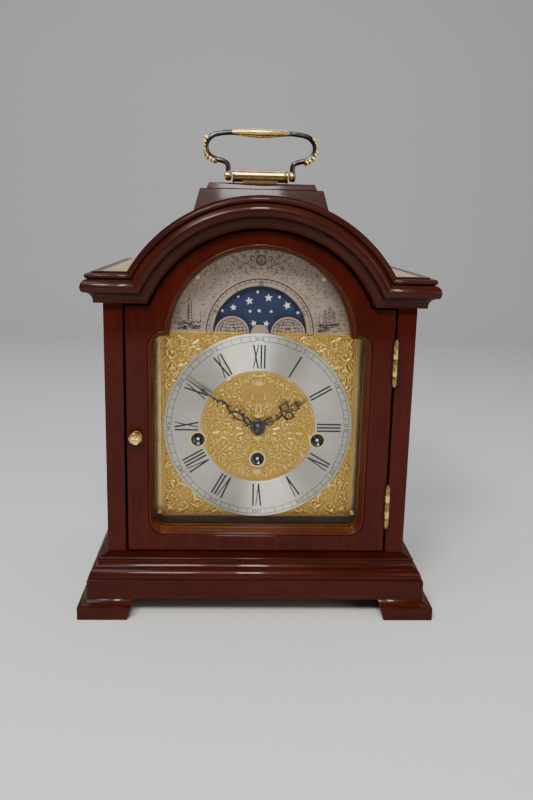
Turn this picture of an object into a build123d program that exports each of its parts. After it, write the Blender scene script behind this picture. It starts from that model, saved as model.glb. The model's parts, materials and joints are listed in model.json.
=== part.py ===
from build123d import *
import os
from math import atan2, cos, pi, radians, sin, sqrt

# Three-train mantel clock in a break-arch case.
# Millimetres, +Z up, front towards -Y, origin under the middle of the feet.

# ---------------------------------------------------------------- case sizes
CASE_HALF_WIDTH = 115.5        # outside of the side panels
PANEL_THICKNESS = 14.0
FRONT_Y = -83.0                # front edges of the side panels, flush with the shut door
BACK_Y = 104.6
BASE_TOP_Z = 47.2
CORNICE_LOW_Z = 240.9
SHOULDER_TOP_Z = 263.5
SHOULDER_THICKNESS = 6.0
ARCH_Z = 206.0                 # centre height of the door arch, arch moulding and roof
INNER_HALF_WIDTH = CASE_HALF_WIDTH - PANEL_THICKNESS
SHOULDER_LOW_Z = SHOULDER_TOP_Z - SHOULDER_THICKNESS

# ---------------------------------------------------------------- base and feet
FOOT_OUT = 21.6                # how far the feet stand out from the case
FOOT_LENGTH = 38.0
FOOT_FLARE = 4.0               # the inner end of a foot slants back by this much
FOOT_FACE_HEIGHT = 10.0
BASE_LOW_Z = 14.2
BASE_OUT = 14.7
BASE_INNER_HALF_WIDTH = 100.0
BASE_IN = BASE_INNER_HALF_WIDTH - CASE_HALF_WIDTH
BOTTOM_BOARD_LOW_Z = 36.0

# Base profile from the bottom up, as (stand-out, height); a curve is start, middle, end.
BASE_PLINTH = (
    (BASE_IN, BASE_LOW_Z),
    (BASE_OUT, BASE_LOW_Z),
    (BASE_OUT, 29.2),
    (14.0, 29.8),
    (13.2, 29.8),
    (13.2, 31.2),
)
BASE_SWELL = ((13.2, 31.2), (12.0, 35.4), (8.6, 37.9))
BASE_HOLLOW = ((8.6, 37.9), (7.1, 40.3), (6.6, 43.2))
BASE_BEAD = ((6.6, 43.2), (7.3, 44.2), (6.2, 45.3))
BASE_TOP = (
    (6.2, 45.3),
    (4.2, 45.3),
    (4.2, 46.3),
    (2.2, 46.3),
    (2.2, BASE_TOP_Z),
    (BASE_IN, BASE_TOP_Z),
    (BASE_IN, BASE_LOW_Z),
)

# ---------------------------------------------------------------- cornice
# Cornice profile from the bottom up, in the same form.
CORNICE_FOOT = ((0, CORNICE_LOW_Z), (6.1, CORNICE_LOW_Z), (6.1, 242.2))
CORNICE_HOLLOW = ((6.1, 242.2), (8.0, 246.8), (12.6, 248.7))
CORNICE_ARRIS = ((12.6, 248.7), (13.2, 249.4))
CORNICE_SWELL = ((13.2, 249.4), (14.0, 253.4), (11.0, 257.7))
CORNICE_STEP = ((11.0, 257.7), (9.4, 257.7), (9.4, 258.3))
CORNICE_BEAD = ((9.4, 258.3), (11.2, 260.3), (9.4, 262.3))
CORNICE_TOP = (
    (9.4, 262.3),
    (6.4, 262.3),
    (6.4, SHOULDER_TOP_Z),
    (0, SHOULDER_TOP_Z),
    (0, CORNICE_LOW_Z),
)

# ---------------------------------------------------------------- arch and roof
ARCH_INNER_R = 90.2
ARCH_OUTER_R = ARCH_INNER_R + SHOULDER_TOP_Z - CORNICE_LOW_Z
DOOR_ARCH_R = 88.2
DOOR_ARCH_GAP = 1.1
ROOF_THICKNESS = 9.0
FRONT_BOARD_DEPTH = 16.0

# ---------------------------------------------------------------- door
DOOR_HALF_WIDTH = 99.7
DOOR_LOW_Z = 48.5
DOOR_SHOULDER_Z = 239.0
DOOR_THICKNESS = 16.0
SIGHT_HALF_WIDTH = 79.4
SIGHT_LOW_Z = 65.2
SIGHT_EAR_Z = 216.5
SIGHT_ARCH_Z = 212.5
SIGHT_ARCH_R = 68.2
SIGHT_CORNER_R = 8.0
SIGHT_MOULD = 4.4
GLASS_THICKNESS = 2.0
HINGE_AXIS = (100.7, -85.1)
HINGE_R = 2.05
HINGE_SPANS = ((70.2, 102.8), (183.0, 215.6))
KNOB_X = -92.6
KNOB_Z = 140.2

# ---------------------------------------------------------------- dial
DIAL_Y = -59.0                 # front face of the dial plate
DIAL_Z = 142.5                 # centre of the hands
DIAL_PLATE_THICKNESS = 2.0
RELIEF_HALF_WIDTH = 75.9
RELIEF_LOW_Z = 68.4
RELIEF_TOP_Z = 217.0
RING_OUTER_R = 74.0
RING_INNER_R = 45.0
MOON_Z = 217.0
MOON_OPENING_R = 35.3
MOON_DISC_R = 38.4
LUNAR_SCALE_R = 41.5
HUMP_X = 21.5
HUMP_R = 13.2
WINDING_POINTS = ((-47.1, 132.2), (0.0, 116.5), (47.1, 132.2))
GROMMET_R = 6.5
MINUTE_HAND_ANGLE = -55.0      # clockwise from twelve, in degrees
HOUR_HAND_ANGLE = 59.0
MINUTE_HAND_LENGTH = 69.0
HOUR_HAND_LENGTH = 45.5

# ---------------------------------------------------------------- movement
FRONT_PLATE_Y = (-47.0, -45.0)
BACK_PLATE_Y = (-2.0, 0.0)
PLATE_HALF_WIDTH = 71.0
PLATE_LOW_Z = 86.0
PLATE_TOP_Z = 200.0
ARBOR_R = 1.5
SLIM_ARBOR_R = 1.1             # arbors that carry the smallest pinions
PIVOT_R = 0.9
RUNNING_GAP = 0.05

# ---------------------------------------------------------------- handle
HANDLE_Y = 10.0                # depth of the pedestal's centre
HANDLE_Z = 336.4
PEDESTAL_TOP_Z = 324.4
CAP_TOP_Z = 328.8

os.makedirs("parts", exist_ok=True)


# ================================================================ shared shapes
def front_view(y):
    """Upright plane at depth y: local x is +X, local y is +Z, normal towards the front."""
    return Plane.XZ.offset(-y)


def spot(x, y, z):
    """The same upright plane, with its origin at one point."""
    return Plane(origin=(x, y, z), x_dir=(1, 0, 0), z_dir=(0, -1, 0))


def block(x, y, z, mode=Mode.ADD):
    """A box between two limits on each axis, for the part being built."""
    with Locations(((x[0] + x[1]) / 2, (y[0] + y[1]) / 2, (z[0] + z[1]) / 2)):
        Box(x[1] - x[0], y[1] - y[0], z[1] - z[0], mode=mode)


def rod(x, z, radius, y, mode=Mode.ADD):
    """A round bar along Y between two depths, for the part being built."""
    with Locations((x, (y[0] + y[1]) / 2, z)):
        Cylinder(radius, y[1] - y[0], rotation=(90, 0, 0), mode=mode)


def post(x, y, radius, z, mode=Mode.ADD):
    """An upright round bar between two heights, for the part being built."""
    with Locations((x, y, (z[0] + z[1]) / 2)):
        Cylinder(radius, z[1] - z[0], mode=mode)


def arched_outline(half_width, low_z, shoulder_z, arch_z, arch_r, corner_r=0.0):
    """A rectangle with a round arch standing on it, drawn as seen from the front."""
    with BuildSketch() as outline:
        with Locations((0, (low_z + shoulder_z) / 2)):
            if corner_r > 0:
                RectangleRounded(2 * half_width, shoulder_z - low_z, corner_r)
            else:
                Rectangle(2 * half_width, shoulder_z - low_z)
        with Locations((0, arch_z)):
            Circle(arch_r)
    return outline.sketch


def standing(outline, y, margin=0.0):
    """An outline stood upright at depth y, grown all round by a margin."""
    grown = outline
    if margin != 0:
        grown = offset(outline, amount=margin, kind=Kind.INTERSECTION, mode=Mode.PRIVATE)
    return front_view(y) * grown


def tooth_points(teeth, module, phase):
    """Corners of a clock wheel's outline, with straight tapered teeth."""
    pitch_r = teeth * module / 2
    tip_r = pitch_r + 0.7 * module
    root_r = pitch_r - 0.95 * module
    pitch_angle = 2 * pi / teeth
    corners = []
    for tooth in range(teeth):
        middle = phase + tooth * pitch_angle
        for radius, share in ((root_r, -0.20), (tip_r, -0.08), (tip_r, 0.08), (root_r, 0.20)):
            angle = middle + share * pitch_angle
            corners.append((radius * cos(angle), radius * sin(angle)))
    return corners


def gear(centre, teeth, module, y, phase=0.0, bore_r=0.0):
    """A toothed wheel facing the front, between two depths."""
    with BuildPart() as wheel:
        with BuildSketch(spot(centre[0], y[1], centre[1])):
            with BuildLine():
                Polyline(*tooth_points(teeth, module, phase), close=True)
            make_face()
            if bore_r > 0:
                Circle(bore_r, mode=Mode.SUBTRACT)
        extrude(amount=y[1] - y[0])
    return wheel.part


def direction(start, end):
    """Angle of the line from one arbor to another, as seen from the front."""
    return atan2(end[1] - start[1], end[0] - start[0])


def wheel_phase(start, end, teeth):
    """Turns a wheel so that a gap between two of its teeth faces the other arbor."""
    return direction(start, end) + pi / teeth


def pinion_phase(start, end):
    """Turns a pinion so that one of its leaves faces the wheel it meshes with."""
    return direction(start, end)


def arbor(centre):
    """A slim steel arbor with a thinner pivot in each movement plate."""
    shoulders_y = (FRONT_PLATE_Y[1] + 0.5, BACK_PLATE_Y[0] - 0.5)
    rod(centre[0], centre[1], SLIM_ARBOR_R, shoulders_y)
    rod(centre[0], centre[1], PIVOT_R, (FRONT_PLATE_Y[0], BACK_PLATE_Y[1]))


def hinge_leaf(axis, leaf_x, leaf_y, span, knuckles, leaf_side):
    """One leaf of a butt hinge with the knuckles it carries, around an upright axis."""
    count = 5
    gap = 0.12
    pitch = (span[1] - span[0]) / count
    with BuildPart() as leaf:
        block(leaf_x, leaf_y, span)
        start_y = leaf_y[0] if leaf_side > 0 else leaf_y[1]
        for number in knuckles:
            low = span[0] + number * pitch + gap / 2
            high = low + pitch - gap
            tab_y = sorted((axis[1], start_y))
            block(leaf_x, tab_y, (low, high))
            post(axis[0], axis[1], HINGE_R, (low, high))
            if 0 not in knuckles:
                post(axis[0], axis[1], 1.0 + RUNNING_GAP, (low, high), mode=Mode.SUBTRACT)
        if 0 in knuckles:
            post(axis[0], axis[1], 1.0, span)
            for finial_z in (span[0] - 0.7, span[1] + 0.7):
                post(axis[0], axis[1], 1.3, (finial_z - 0.8, finial_z + 0.8))
    return leaf.part


def flipped(points, flip):
    """Profile points with the stand-out turned to the wanted side."""
    return [(across * flip, up) for across, up in points]


def cornice_section(plane, flip):
    """Cornice section: across is the stand-out from the case, up is the height."""
    with BuildSketch(plane) as section:
        with BuildLine():
            Polyline(*flipped(CORNICE_FOOT, flip))
            ThreePointArc(*flipped(CORNICE_HOLLOW, flip))
            Line(*flipped(CORNICE_ARRIS, flip))
            ThreePointArc(*flipped(CORNICE_SWELL, flip))
            Polyline(*flipped(CORNICE_STEP, flip))
            ThreePointArc(*flipped(CORNICE_BEAD, flip))
            Polyline(*flipped(CORNICE_TOP, flip))
        make_face()
    return section.sketch


def base_section(plane, flip):
    """Base moulding section: across is the stand-out from the case, up is the height."""
    with BuildSketch(plane) as section:
        with BuildLine():
            Polyline(*flipped(BASE_PLINTH, flip))
            ThreePointArc(*flipped(BASE_SWELL, flip))
            ThreePointArc(*flipped(BASE_HOLLOW, flip))
            ThreePointArc(*flipped(BASE_BEAD, flip))
            Polyline(*flipped(BASE_TOP, flip))
        make_face()
    return section.sketch


def mitre_plane():
    """Upright plane at 45 degrees through the case's front right corner."""
    return Plane(origin=(CASE_HALF_WIDTH, FRONT_Y, 0), z_dir=(1, 1, 0))


# Section planes for a moulding along the front and one along the right side.
FRONT_RUN = Plane(origin=(0, FRONT_Y, 0), x_dir=(0, 1, 0), z_dir=(1, 0, 0))
SIDE_RUN = Plane(origin=(CASE_HALF_WIDTH, BACK_Y, 0), x_dir=(1, 0, 0), z_dir=(0, -1, 0))

# ================================================================ case
with BuildPart() as base_front_run:
    extrude(base_section(FRONT_RUN, -1), amount=CASE_HALF_WIDTH + 30)
    split(bisect_by=mitre_plane(), keep=Keep.BOTTOM)

with BuildPart() as base_side_run:
    extrude(base_section(SIDE_RUN, 1), amount=BACK_Y - FRONT_Y + 30)
    split(bisect_by=mitre_plane(), keep=Keep.TOP)

with BuildPart() as base_moulding:
    add(base_front_run.part)
    add(base_side_run.part)
    mirror(about=Plane.YZ)
    back_rail_y = (BACK_Y - 14, BACK_Y)
    block((-BASE_INNER_HALF_WIDTH, BASE_INNER_HALF_WIDTH), back_rail_y, (BASE_LOW_Z, BOTTOM_BOARD_LOW_Z))

base_moulding.part.label = "base_moulding"
export_step(base_moulding.part, "parts/base_moulding.step")

with BuildPart() as bottom_board:
    board_front_y = FRONT_Y + CASE_HALF_WIDTH - BASE_INNER_HALF_WIDTH
    board_x = (-BASE_INNER_HALF_WIDTH, BASE_INNER_HALF_WIDTH)
    block(board_x, (board_front_y, BACK_Y), (BOTTOM_BOARD_LOW_Z, BASE_TOP_Z))

bottom_board.part.label = "bottom_board"
export_step(bottom_board.part, "parts/bottom_board.step")


def foot_section(plane, outer, flip, moulded):
    """One side of a foot: face, hollow top and slanted inner end."""
    inner = outer - FOOT_LENGTH
    rest_top = outer - (FOOT_OUT - BASE_OUT) - 0.4
    with BuildSketch(plane) as section:
        with BuildLine():
            Polyline((inner * flip, 0), (outer * flip, 0), (outer * flip, FOOT_FACE_HEIGHT))
            if moulded:
                top = (rest_top * flip, BASE_LOW_Z)
                hollow = ((rest_top + 2.6) * flip, FOOT_FACE_HEIGHT + 1.5)
                ThreePointArc((outer * flip, FOOT_FACE_HEIGHT), hollow, top)
            else:
                top = (outer * flip, BASE_LOW_Z)
                Line((outer * flip, FOOT_FACE_HEIGHT), top)
            Polyline(top, ((inner - FOOT_FLARE) * flip, BASE_LOW_Z), (inner * flip, 0))
        make_face()
    return section.sketch


with BuildPart() as bracket_feet:
    foot_half_width = CASE_HALF_WIDTH + FOOT_OUT
    foot_reach = FOOT_LENGTH + FOOT_FLARE
    for end_y, direction_y, moulded in ((FRONT_Y - FOOT_OUT, -1, True), (BACK_Y, 1, False)):
        start_y = end_y - direction_y * foot_reach
        far_y = max(end_y, start_y)
        across = extrude(
            foot_section(front_view(far_y), foot_half_width, 1, True),
            amount=foot_reach,
            mode=Mode.PRIVATE,
        )
        side_plane = Plane(origin=(foot_half_width, 0, 0), x_dir=(0, 1, 0), z_dir=(1, 0, 0))
        along = extrude(
            foot_section(side_plane, abs(end_y), direction_y, moulded),
            amount=-foot_reach,
            mode=Mode.PRIVATE,
        )
        add(across & along)
    mirror(about=Plane.YZ)

bracket_feet.part.label = "bracket_feet"
export_step(bracket_feet.part, "parts/bracket_feet.step")

with BuildPart() as side_panels:
    block((INNER_HALF_WIDTH, CASE_HALF_WIDTH), (FRONT_Y, BACK_Y), (BASE_TOP_Z, SHOULDER_LOW_Z))
    mirror(about=Plane.YZ)

side_panels.part.label = "side_panels"
export_step(side_panels.part, "parts/side_panels.step")


def clear_of_panels(y):
    """Trims the part being built to the space between the side panels."""
    for side in (-1, 1):
        x = sorted((side * INNER_HALF_WIDTH, side * (CASE_HALF_WIDTH + 5)))
        block(x, y, (BASE_TOP_Z - 1, SHOULDER_LOW_Z), mode=Mode.SUBTRACT)


with BuildPart() as front_arch_board:
    board_y = (FRONT_Y, FRONT_Y + FRONT_BOARD_DEPTH)
    head = arched_outline(INNER_HALF_WIDTH, CORNICE_LOW_Z, SHOULDER_LOW_Z, ARCH_Z, ARCH_OUTER_R)
    extrude(standing(head, board_y[1]), amount=FRONT_BOARD_DEPTH)
    block((-CASE_HALF_WIDTH, CASE_HALF_WIDTH), board_y, (BASE_TOP_Z, CORNICE_LOW_Z), mode=Mode.SUBTRACT)
    rod(0, ARCH_Z, DOOR_ARCH_R + DOOR_ARCH_GAP, board_y, mode=Mode.SUBTRACT)
    clear_of_panels(board_y)

front_arch_board.part.label = "front_arch_board"
export_step(front_arch_board.part, "parts/front_arch_board.step")

# The straight cornice meets the arch moulding on a slanted mitre.
ARCH_MITRE_LOW = (sqrt(ARCH_INNER_R**2 - (CORNICE_LOW_Z - ARCH_Z) ** 2), CORNICE_LOW_Z)
ARCH_MITRE_HIGH = (sqrt(ARCH_OUTER_R**2 - (SHOULDER_TOP_Z - ARCH_Z) ** 2), SHOULDER_TOP_Z)


def arch_mitre_plane():
    """Plane of the joint between the arch moulding and the right-hand cornice."""
    rise = ARCH_MITRE_HIGH[1] - ARCH_MITRE_LOW[1]
    run = ARCH_MITRE_HIGH[0] - ARCH_MITRE_LOW[0]
    return Plane(origin=(ARCH_MITRE_LOW[0], 0, ARCH_MITRE_LOW[1]), z_dir=(rise, 0, -run))


with BuildPart() as arch_half:
    section_origin = (ARCH_INNER_R - CORNICE_LOW_Z, FRONT_Y, ARCH_Z)
    turned = Plane(origin=section_origin, x_dir=(0, -1, 0), z_dir=(0, 0, 1))
    revolve(
        cornice_section(turned, 1),
        axis=Axis((0, 0, ARCH_Z), (0, 1, 0)),
        revolution_arc=-90,
    )
    split(bisect_by=arch_mitre_plane(), keep=Keep.BOTTOM)

with BuildPart() as arch_moulding:
    add(arch_half.part)
    mirror(about=Plane.YZ)

arch_moulding.part.label = "arch_moulding"
export_step(arch_moulding.part, "parts/arch_moulding.step")

with BuildPart() as cornice_front_run:
    extrude(cornice_section(FRONT_RUN, -1), amount=CASE_HALF_WIDTH + 30)
    split(bisect_by=mitre_plane(), keep=Keep.BOTTOM)
    split(bisect_by=arch_mitre_plane(), keep=Keep.TOP)

with BuildPart() as cornice_side_run:
    extrude(cornice_section(SIDE_RUN, 1), amount=BACK_Y - FRONT_Y + 30)
    split(bisect_by=mitre_plane(), keep=Keep.TOP)

with BuildPart() as cornice_mouldings:
    add(cornice_front_run.part)
    add(cornice_side_run.part)
    mirror(about=Plane.YZ)

cornice_mouldings.part.label = "cornice_mouldings"
export_step(cornice_mouldings.part, "parts/cornice_mouldings.step")

with BuildPart() as shoulder_boards:
    block((60, CASE_HALF_WIDTH), (FRONT_Y, BACK_Y), (SHOULDER_LOW_Z, SHOULDER_TOP_Z))
    mirror(about=Plane.YZ)
    rod(0, ARCH_Z, ARCH_OUTER_R, (FRONT_Y - 1, BACK_Y + 1), mode=Mode.SUBTRACT)

shoulder_boards.part.label = "shoulder_boards"
export_step(shoulder_boards.part, "parts/shoulder_boards.step")

with BuildPart() as arched_roof:
    roof_y = (FRONT_Y + FRONT_BOARD_DEPTH, BACK_Y)
    rod(0, ARCH_Z, ARCH_OUTER_R, roof_y)
    rod(0, ARCH_Z, ARCH_OUTER_R - ROOF_THICKNESS, roof_y, mode=Mode.SUBTRACT)
    below = ARCH_Z - ARCH_OUTER_R - 1
    block((-ARCH_OUTER_R - 1, ARCH_OUTER_R + 1), roof_y, (below, SHOULDER_LOW_Z), mode=Mode.SUBTRACT)

arched_roof.part.label = "arched_roof"
export_step(arched_roof.part, "parts/arched_roof.step")

PEDESTAL_HALF_DEPTH = 56.0

with BuildPart() as pedestal_block:
    low_z = 303.0
    low_half_width = 53.0
    spread = low_half_width - 47.2
    with BuildSketch(Plane.XY.offset(low_z)):
        with Locations((0, HANDLE_Y)):
            Rectangle(2 * low_half_width, 2 * PEDESTAL_HALF_DEPTH)
    with BuildSketch(Plane.XY.offset(PEDESTAL_TOP_Z)):
        with Locations((0, HANDLE_Y)):
            Rectangle(2 * (low_half_width - spread), 2 * (PEDESTAL_HALF_DEPTH - spread))
    loft()
    rod(0, ARCH_Z, ARCH_OUTER_R, (FRONT_Y, BACK_Y), mode=Mode.SUBTRACT)

pedestal_block.part.label = "pedestal_block"
export_step(pedestal_block.part, "parts/pedestal_block.step")

with BuildPart() as pedestal_cap:
    cap_low = (42.3, 50.0)
    cap_high = (40.5, 48.2)
    for height, half in ((PEDESTAL_TOP_Z, cap_low), (CAP_TOP_Z, cap_high)):
        with BuildSketch(Plane.XY.offset(height)):
            with Locations((0, HANDLE_Y)):
                Rectangle(2 * half[0], 2 * half[1])
    loft()

pedestal_cap.part.label = "pedestal_cap"
export_step(pedestal_cap.part, "parts/pedestal_cap.step")

BACK_FRAME_Y = (BACK_Y - 10.0, BACK_Y)
REAR_OPENING_X = (-79.0, 79.0)
REAR_OPENING_Z = (70.0, 235.0)
REAR_AXIS = (78.1, 102.5)
REAR_HINGE_SPANS = ((86.0, 112.0), (193.0, 219.0))
LATCH_X = -84.0
LATCH_Z = 152.0

with BuildPart() as back_frame:
    roof_inner_r = ARCH_OUTER_R - ROOF_THICKNESS
    back_outline = arched_outline(INNER_HALF_WIDTH, BASE_TOP_Z, SHOULDER_LOW_Z, ARCH_Z, roof_inner_r)
    extrude(standing(back_outline, BACK_Y), amount=10.0)
    block(REAR_OPENING_X, BACK_FRAME_Y, REAR_OPENING_Z, mode=Mode.SUBTRACT)
    rod(LATCH_X, LATCH_Z, 13.5, (BACK_Y - 2.1, BACK_Y), mode=Mode.SUBTRACT)
    clear_of_panels(BACK_FRAME_Y)
    for span in REAR_HINGE_SPANS:
        pocket_z = (span[0] - 1.8, span[1] + 1.8)
        pocket_y = (REAR_AXIS[1] - 2.4, BACK_Y)
        block((REAR_AXIS[0], REAR_AXIS[0] + 2.4), pocket_y, pocket_z, mode=Mode.SUBTRACT)

back_frame.part.label = "back_frame"
export_step(back_frame.part, "parts/back_frame.step")

# ================================================================ front door
with BuildPart() as door_frame:
    door_y = (FRONT_Y, FRONT_Y + DOOR_THICKNESS)
    door_outline = arched_outline(
        DOOR_HALF_WIDTH, DOOR_LOW_Z, DOOR_SHOULDER_Z, ARCH_Z, DOOR_ARCH_R
    )
    sight = arched_outline(
        SIGHT_HALF_WIDTH, SIGHT_LOW_Z, SIGHT_EAR_Z, SIGHT_ARCH_Z, SIGHT_ARCH_R, SIGHT_CORNER_R
    )
    extrude(standing(door_outline, door_y[1]), amount=DOOR_THICKNESS)
    extrude(standing(sight, door_y[1], SIGHT_MOULD), amount=DOOR_THICKNESS, mode=Mode.SUBTRACT)

door_frame.part.label = "door_frame"
export_step(door_frame.part, "parts/door_frame.step")

GLASS_Y = (FRONT_Y + 9.0, FRONT_Y + 9.0 + GLASS_THICKNESS)

with BuildPart() as door_sight_mouldings:
    front_depth = GLASS_Y[0] - FRONT_Y
    bead_depth = 4.0
    for back_y, depth in ((GLASS_Y[0], front_depth), (GLASS_Y[1] + bead_depth, bead_depth)):
        extrude(standing(sight, back_y, SIGHT_MOULD), amount=depth)
        extrude(standing(sight, back_y), amount=depth, mode=Mode.SUBTRACT)

door_sight_mouldings.part.label = "door_sight_mouldings"
export_step(door_sight_mouldings.part, "parts/door_sight_mouldings.step")

with BuildPart() as door_glass:
    extrude(standing(sight, GLASS_Y[1], SIGHT_MOULD), amount=GLASS_THICKNESS)

door_glass.part.label = "door_glass"
export_step(door_glass.part, "parts/door_glass.step")

with BuildPart() as door_knob:
    rod(KNOB_X, KNOB_Z, 3.8, (FRONT_Y - 0.8, FRONT_Y))
    rod(KNOB_X, KNOB_Z, 2.0, (FRONT_Y - 5.5, FRONT_Y - 0.8))
    rod(KNOB_X, KNOB_Z, 5.25, (FRONT_Y - 9.0, FRONT_Y - 5.0))
    knob_face = door_knob.faces().sort_by(Axis.Y)[0]
    fillet(knob_face.edges(), radius=1.4)

door_knob.part.label = "door_knob"
export_step(door_knob.part, "parts/door_knob.step")

# ================================================================ hinges
CASE_LEAF_X = (HINGE_AXIS[0] + 0.05, INNER_HALF_WIDTH)
DOOR_LEAF_X = (DOOR_HALF_WIDTH, HINGE_AXIS[0] - 0.05)
LEAF_Y = (HINGE_AXIS[1] + HINGE_R + 0.2, FRONT_Y + 13.0)

with BuildPart() as door_hinge_door_leaves:
    for span in HINGE_SPANS:
        add(hinge_leaf(HINGE_AXIS, DOOR_LEAF_X, LEAF_Y, span, (1, 3), 1))

door_hinge_door_leaves.part.label = "door_hinge_door_leaves"
export_step(door_hinge_door_leaves.part, "parts/door_hinge_door_leaves.step")

# ================================================================ rear door
REAR_DOOR_Y = (REAR_AXIS[1] - 8.0, REAR_AXIS[1])
REAR_DOOR_EDGE_X = 77.2

with BuildPart() as rear_door:
    block((-77.8, REAR_DOOR_EDGE_X), REAR_DOOR_Y, (71.2, 233.8))
    for slot in range(7):
        slot_z = 110.0 + slot * 14.0
        with BuildSketch(front_view(REAR_DOOR_Y[1])):
            with Locations((0, slot_z)):
                SlotOverall(90.0, 5.0)
        extrude(amount=8.0, mode=Mode.SUBTRACT)
    leaf_pocket_y = (REAR_AXIS[1] - 2.4, REAR_AXIS[1])
    for span in REAR_HINGE_SPANS:
        pocket_z = (span[0] - 1.8, span[1] + 1.8)
        block((REAR_AXIS[0] - 2.4, REAR_AXIS[0]), leaf_pocket_y, pocket_z, mode=Mode.SUBTRACT)

rear_door.part.label = "rear_door"
export_step(rear_door.part, "parts/rear_door.step")

with BuildPart() as rear_latch:
    rod(LATCH_X, LATCH_Z, 3.5, (BACK_Y - 1.95, BACK_Y - 0.3))
    block((LATCH_X - 3, LATCH_X + 3), (BACK_Y - 1.95, BACK_Y - 0.6), (LATCH_Z - 5, LATCH_Z + 12.5))

rear_latch.part.label = "rear_latch"
export_step(rear_latch.part, "parts/rear_latch.step")

REAR_LEAF_Y = (REAR_DOOR_Y[0] + 0.5, REAR_AXIS[1] - HINGE_R - 0.2)

with BuildPart() as hinge_case_leaves:
    for span in HINGE_SPANS:
        add(hinge_leaf(HINGE_AXIS, CASE_LEAF_X, LEAF_Y, span, (0, 2, 4), 1))
    frame_leaf_x = (REAR_AXIS[0] + 0.05, REAR_OPENING_X[1])
    for span in REAR_HINGE_SPANS:
        add(hinge_leaf(REAR_AXIS, frame_leaf_x, REAR_LEAF_Y, span, (0, 2, 4), -1))

hinge_case_leaves.part.label = "hinge_case_leaves"
export_step(hinge_case_leaves.part, "parts/hinge_case_leaves.step")

with BuildPart() as rear_hinge_door_leaves:
    door_leaf_x = (REAR_DOOR_EDGE_X, REAR_AXIS[0] - 0.05)
    for span in REAR_HINGE_SPANS:
        add(hinge_leaf(REAR_AXIS, door_leaf_x, REAR_LEAF_Y, span, (1, 3), -1))

rear_hinge_door_leaves.part.label = "rear_hinge_door_leaves"
export_step(rear_hinge_door_leaves.part, "parts/rear_hinge_door_leaves.step")

# ================================================================ handle
BARREL_HALF_LENGTH = 22.6
BARREL_R = 4.95
EYE_X = (23.4, 29.4)
EYE_R = 4.2
BAIL_R = 1.8


def along_x(radius, x, z, mode=Mode.ADD):
    """A round bar along X at the handle's depth, for the part being built."""
    with Locations(((x[0] + x[1]) / 2, HANDLE_Y, z)):
        Cylinder(radius, x[1] - x[0], rotation=(0, 90, 0), mode=mode)


with BuildPart() as handle_barrel:
    along_x(BARREL_R, (-BARREL_HALF_LENGTH, BARREL_HALF_LENGTH), HANDLE_Z)
    for side in (-1, 1):
        collar = sorted((side * (BARREL_HALF_LENGTH - 2.2), side * BARREL_HALF_LENGTH))
        along_x(BARREL_R + 0.6, collar, HANDLE_Z)
    block((-14, 14), (HANDLE_Y - 3.2, HANDLE_Y + 3.2), (CAP_TOP_Z, HANDLE_Z))
    for side in (-1, 1):
        socket = sorted((side * (BARREL_HALF_LENGTH - 7.5), side * BARREL_HALF_LENGTH))
        along_x(2.0 + RUNNING_GAP, socket, HANDLE_Z, mode=Mode.SUBTRACT)

handle_barrel.part.label = "handle_barrel"
export_step(handle_barrel.part, "parts/handle_barrel.step")

BAIL_POINTS = (
    (26.4, HANDLE_Z),
    (26.6, 345.0),
    (36.0, 349.0),
    (43.6, 354.0),
    (45.0, 361.0),
    (38.5, 368.4),
    (22.0, 371.4),
    (0.0, 370.3),
)

with BuildPart() as bail_half:
    bail_plane = Plane(origin=(0, HANDLE_Y, 0), x_dir=(1, 0, 0), z_dir=(0, -1, 0))
    with BuildLine(bail_plane) as bail_path:
        FilletPolyline(*BAIL_POINTS, radius=(2.2, 4.0, 5.0, 5.0, 8.0, 25.0))
    with BuildSketch(Plane(origin=(BAIL_POINTS[0][0], HANDLE_Y, HANDLE_Z), z_dir=(0, 0, 1))):
        Circle(BAIL_R)
    sweep(path=bail_path.wires()[0])

with BuildPart() as handle_bail:
    add(bail_half.part)
    along_x(EYE_R, EYE_X, HANDLE_Z)
    along_x(2.0, (BARREL_HALF_LENGTH - 6.5, EYE_X[0]), HANDLE_Z)
    mirror(about=Plane.YZ)
    grip_z = 370.2
    grip_half_length = 25.0
    with BuildSketch(bail_plane):
        with BuildLine():
            ThreePointArc((-grip_half_length, grip_z), (0, grip_z + 3.8), (grip_half_length, grip_z))
            Line((grip_half_length, grip_z), (-grip_half_length, grip_z))
        make_face()
    revolve(axis=Axis((0, HANDLE_Y, grip_z), (1, 0, 0)))

handle_bail.part.label = "handle_bail"
export_step(handle_bail.part, "parts/handle_bail.step")

# ================================================================ dial
PLATE_HALF_WIDTH_DIAL = 88.0
DIAL_ARCH_R = 73.0
DIAL_PLATE_Y = (DIAL_Y, DIAL_Y + DIAL_PLATE_THICKNESS)
WINDING_HOLE_R = GROMMET_R + 0.1
CENTRE_HOLE_R = 3.4


def winding_holes(y, radius=WINDING_HOLE_R):
    """Cuts the winding holes and the centre hole from the part being built."""
    for x, z in WINDING_POINTS:
        rod(x, z, radius, y, mode=Mode.SUBTRACT)
    rod(0, DIAL_Z, CENTRE_HOLE_R, y, mode=Mode.SUBTRACT)


def half_disc(radius, y, low_z=MOON_Z):
    """The upper half of a disc about the moon's centre, between two depths."""
    with BuildPart() as upper:
        rod(0, MOON_Z, radius, y)
        block((-90, 90), (y[0] - 1, y[1] + 1), (low_z - 180, low_z), mode=Mode.SUBTRACT)
    return upper.part


def ring_half(inner_r, outer_r, y):
    """The upper half of a flat ring about the moon's centre, between two depths."""
    with BuildPart() as band:
        add(half_disc(outer_r, y, MOON_Z + 0.4))
        rod(0, MOON_Z, inner_r, y, mode=Mode.SUBTRACT)
    return band.part


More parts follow.
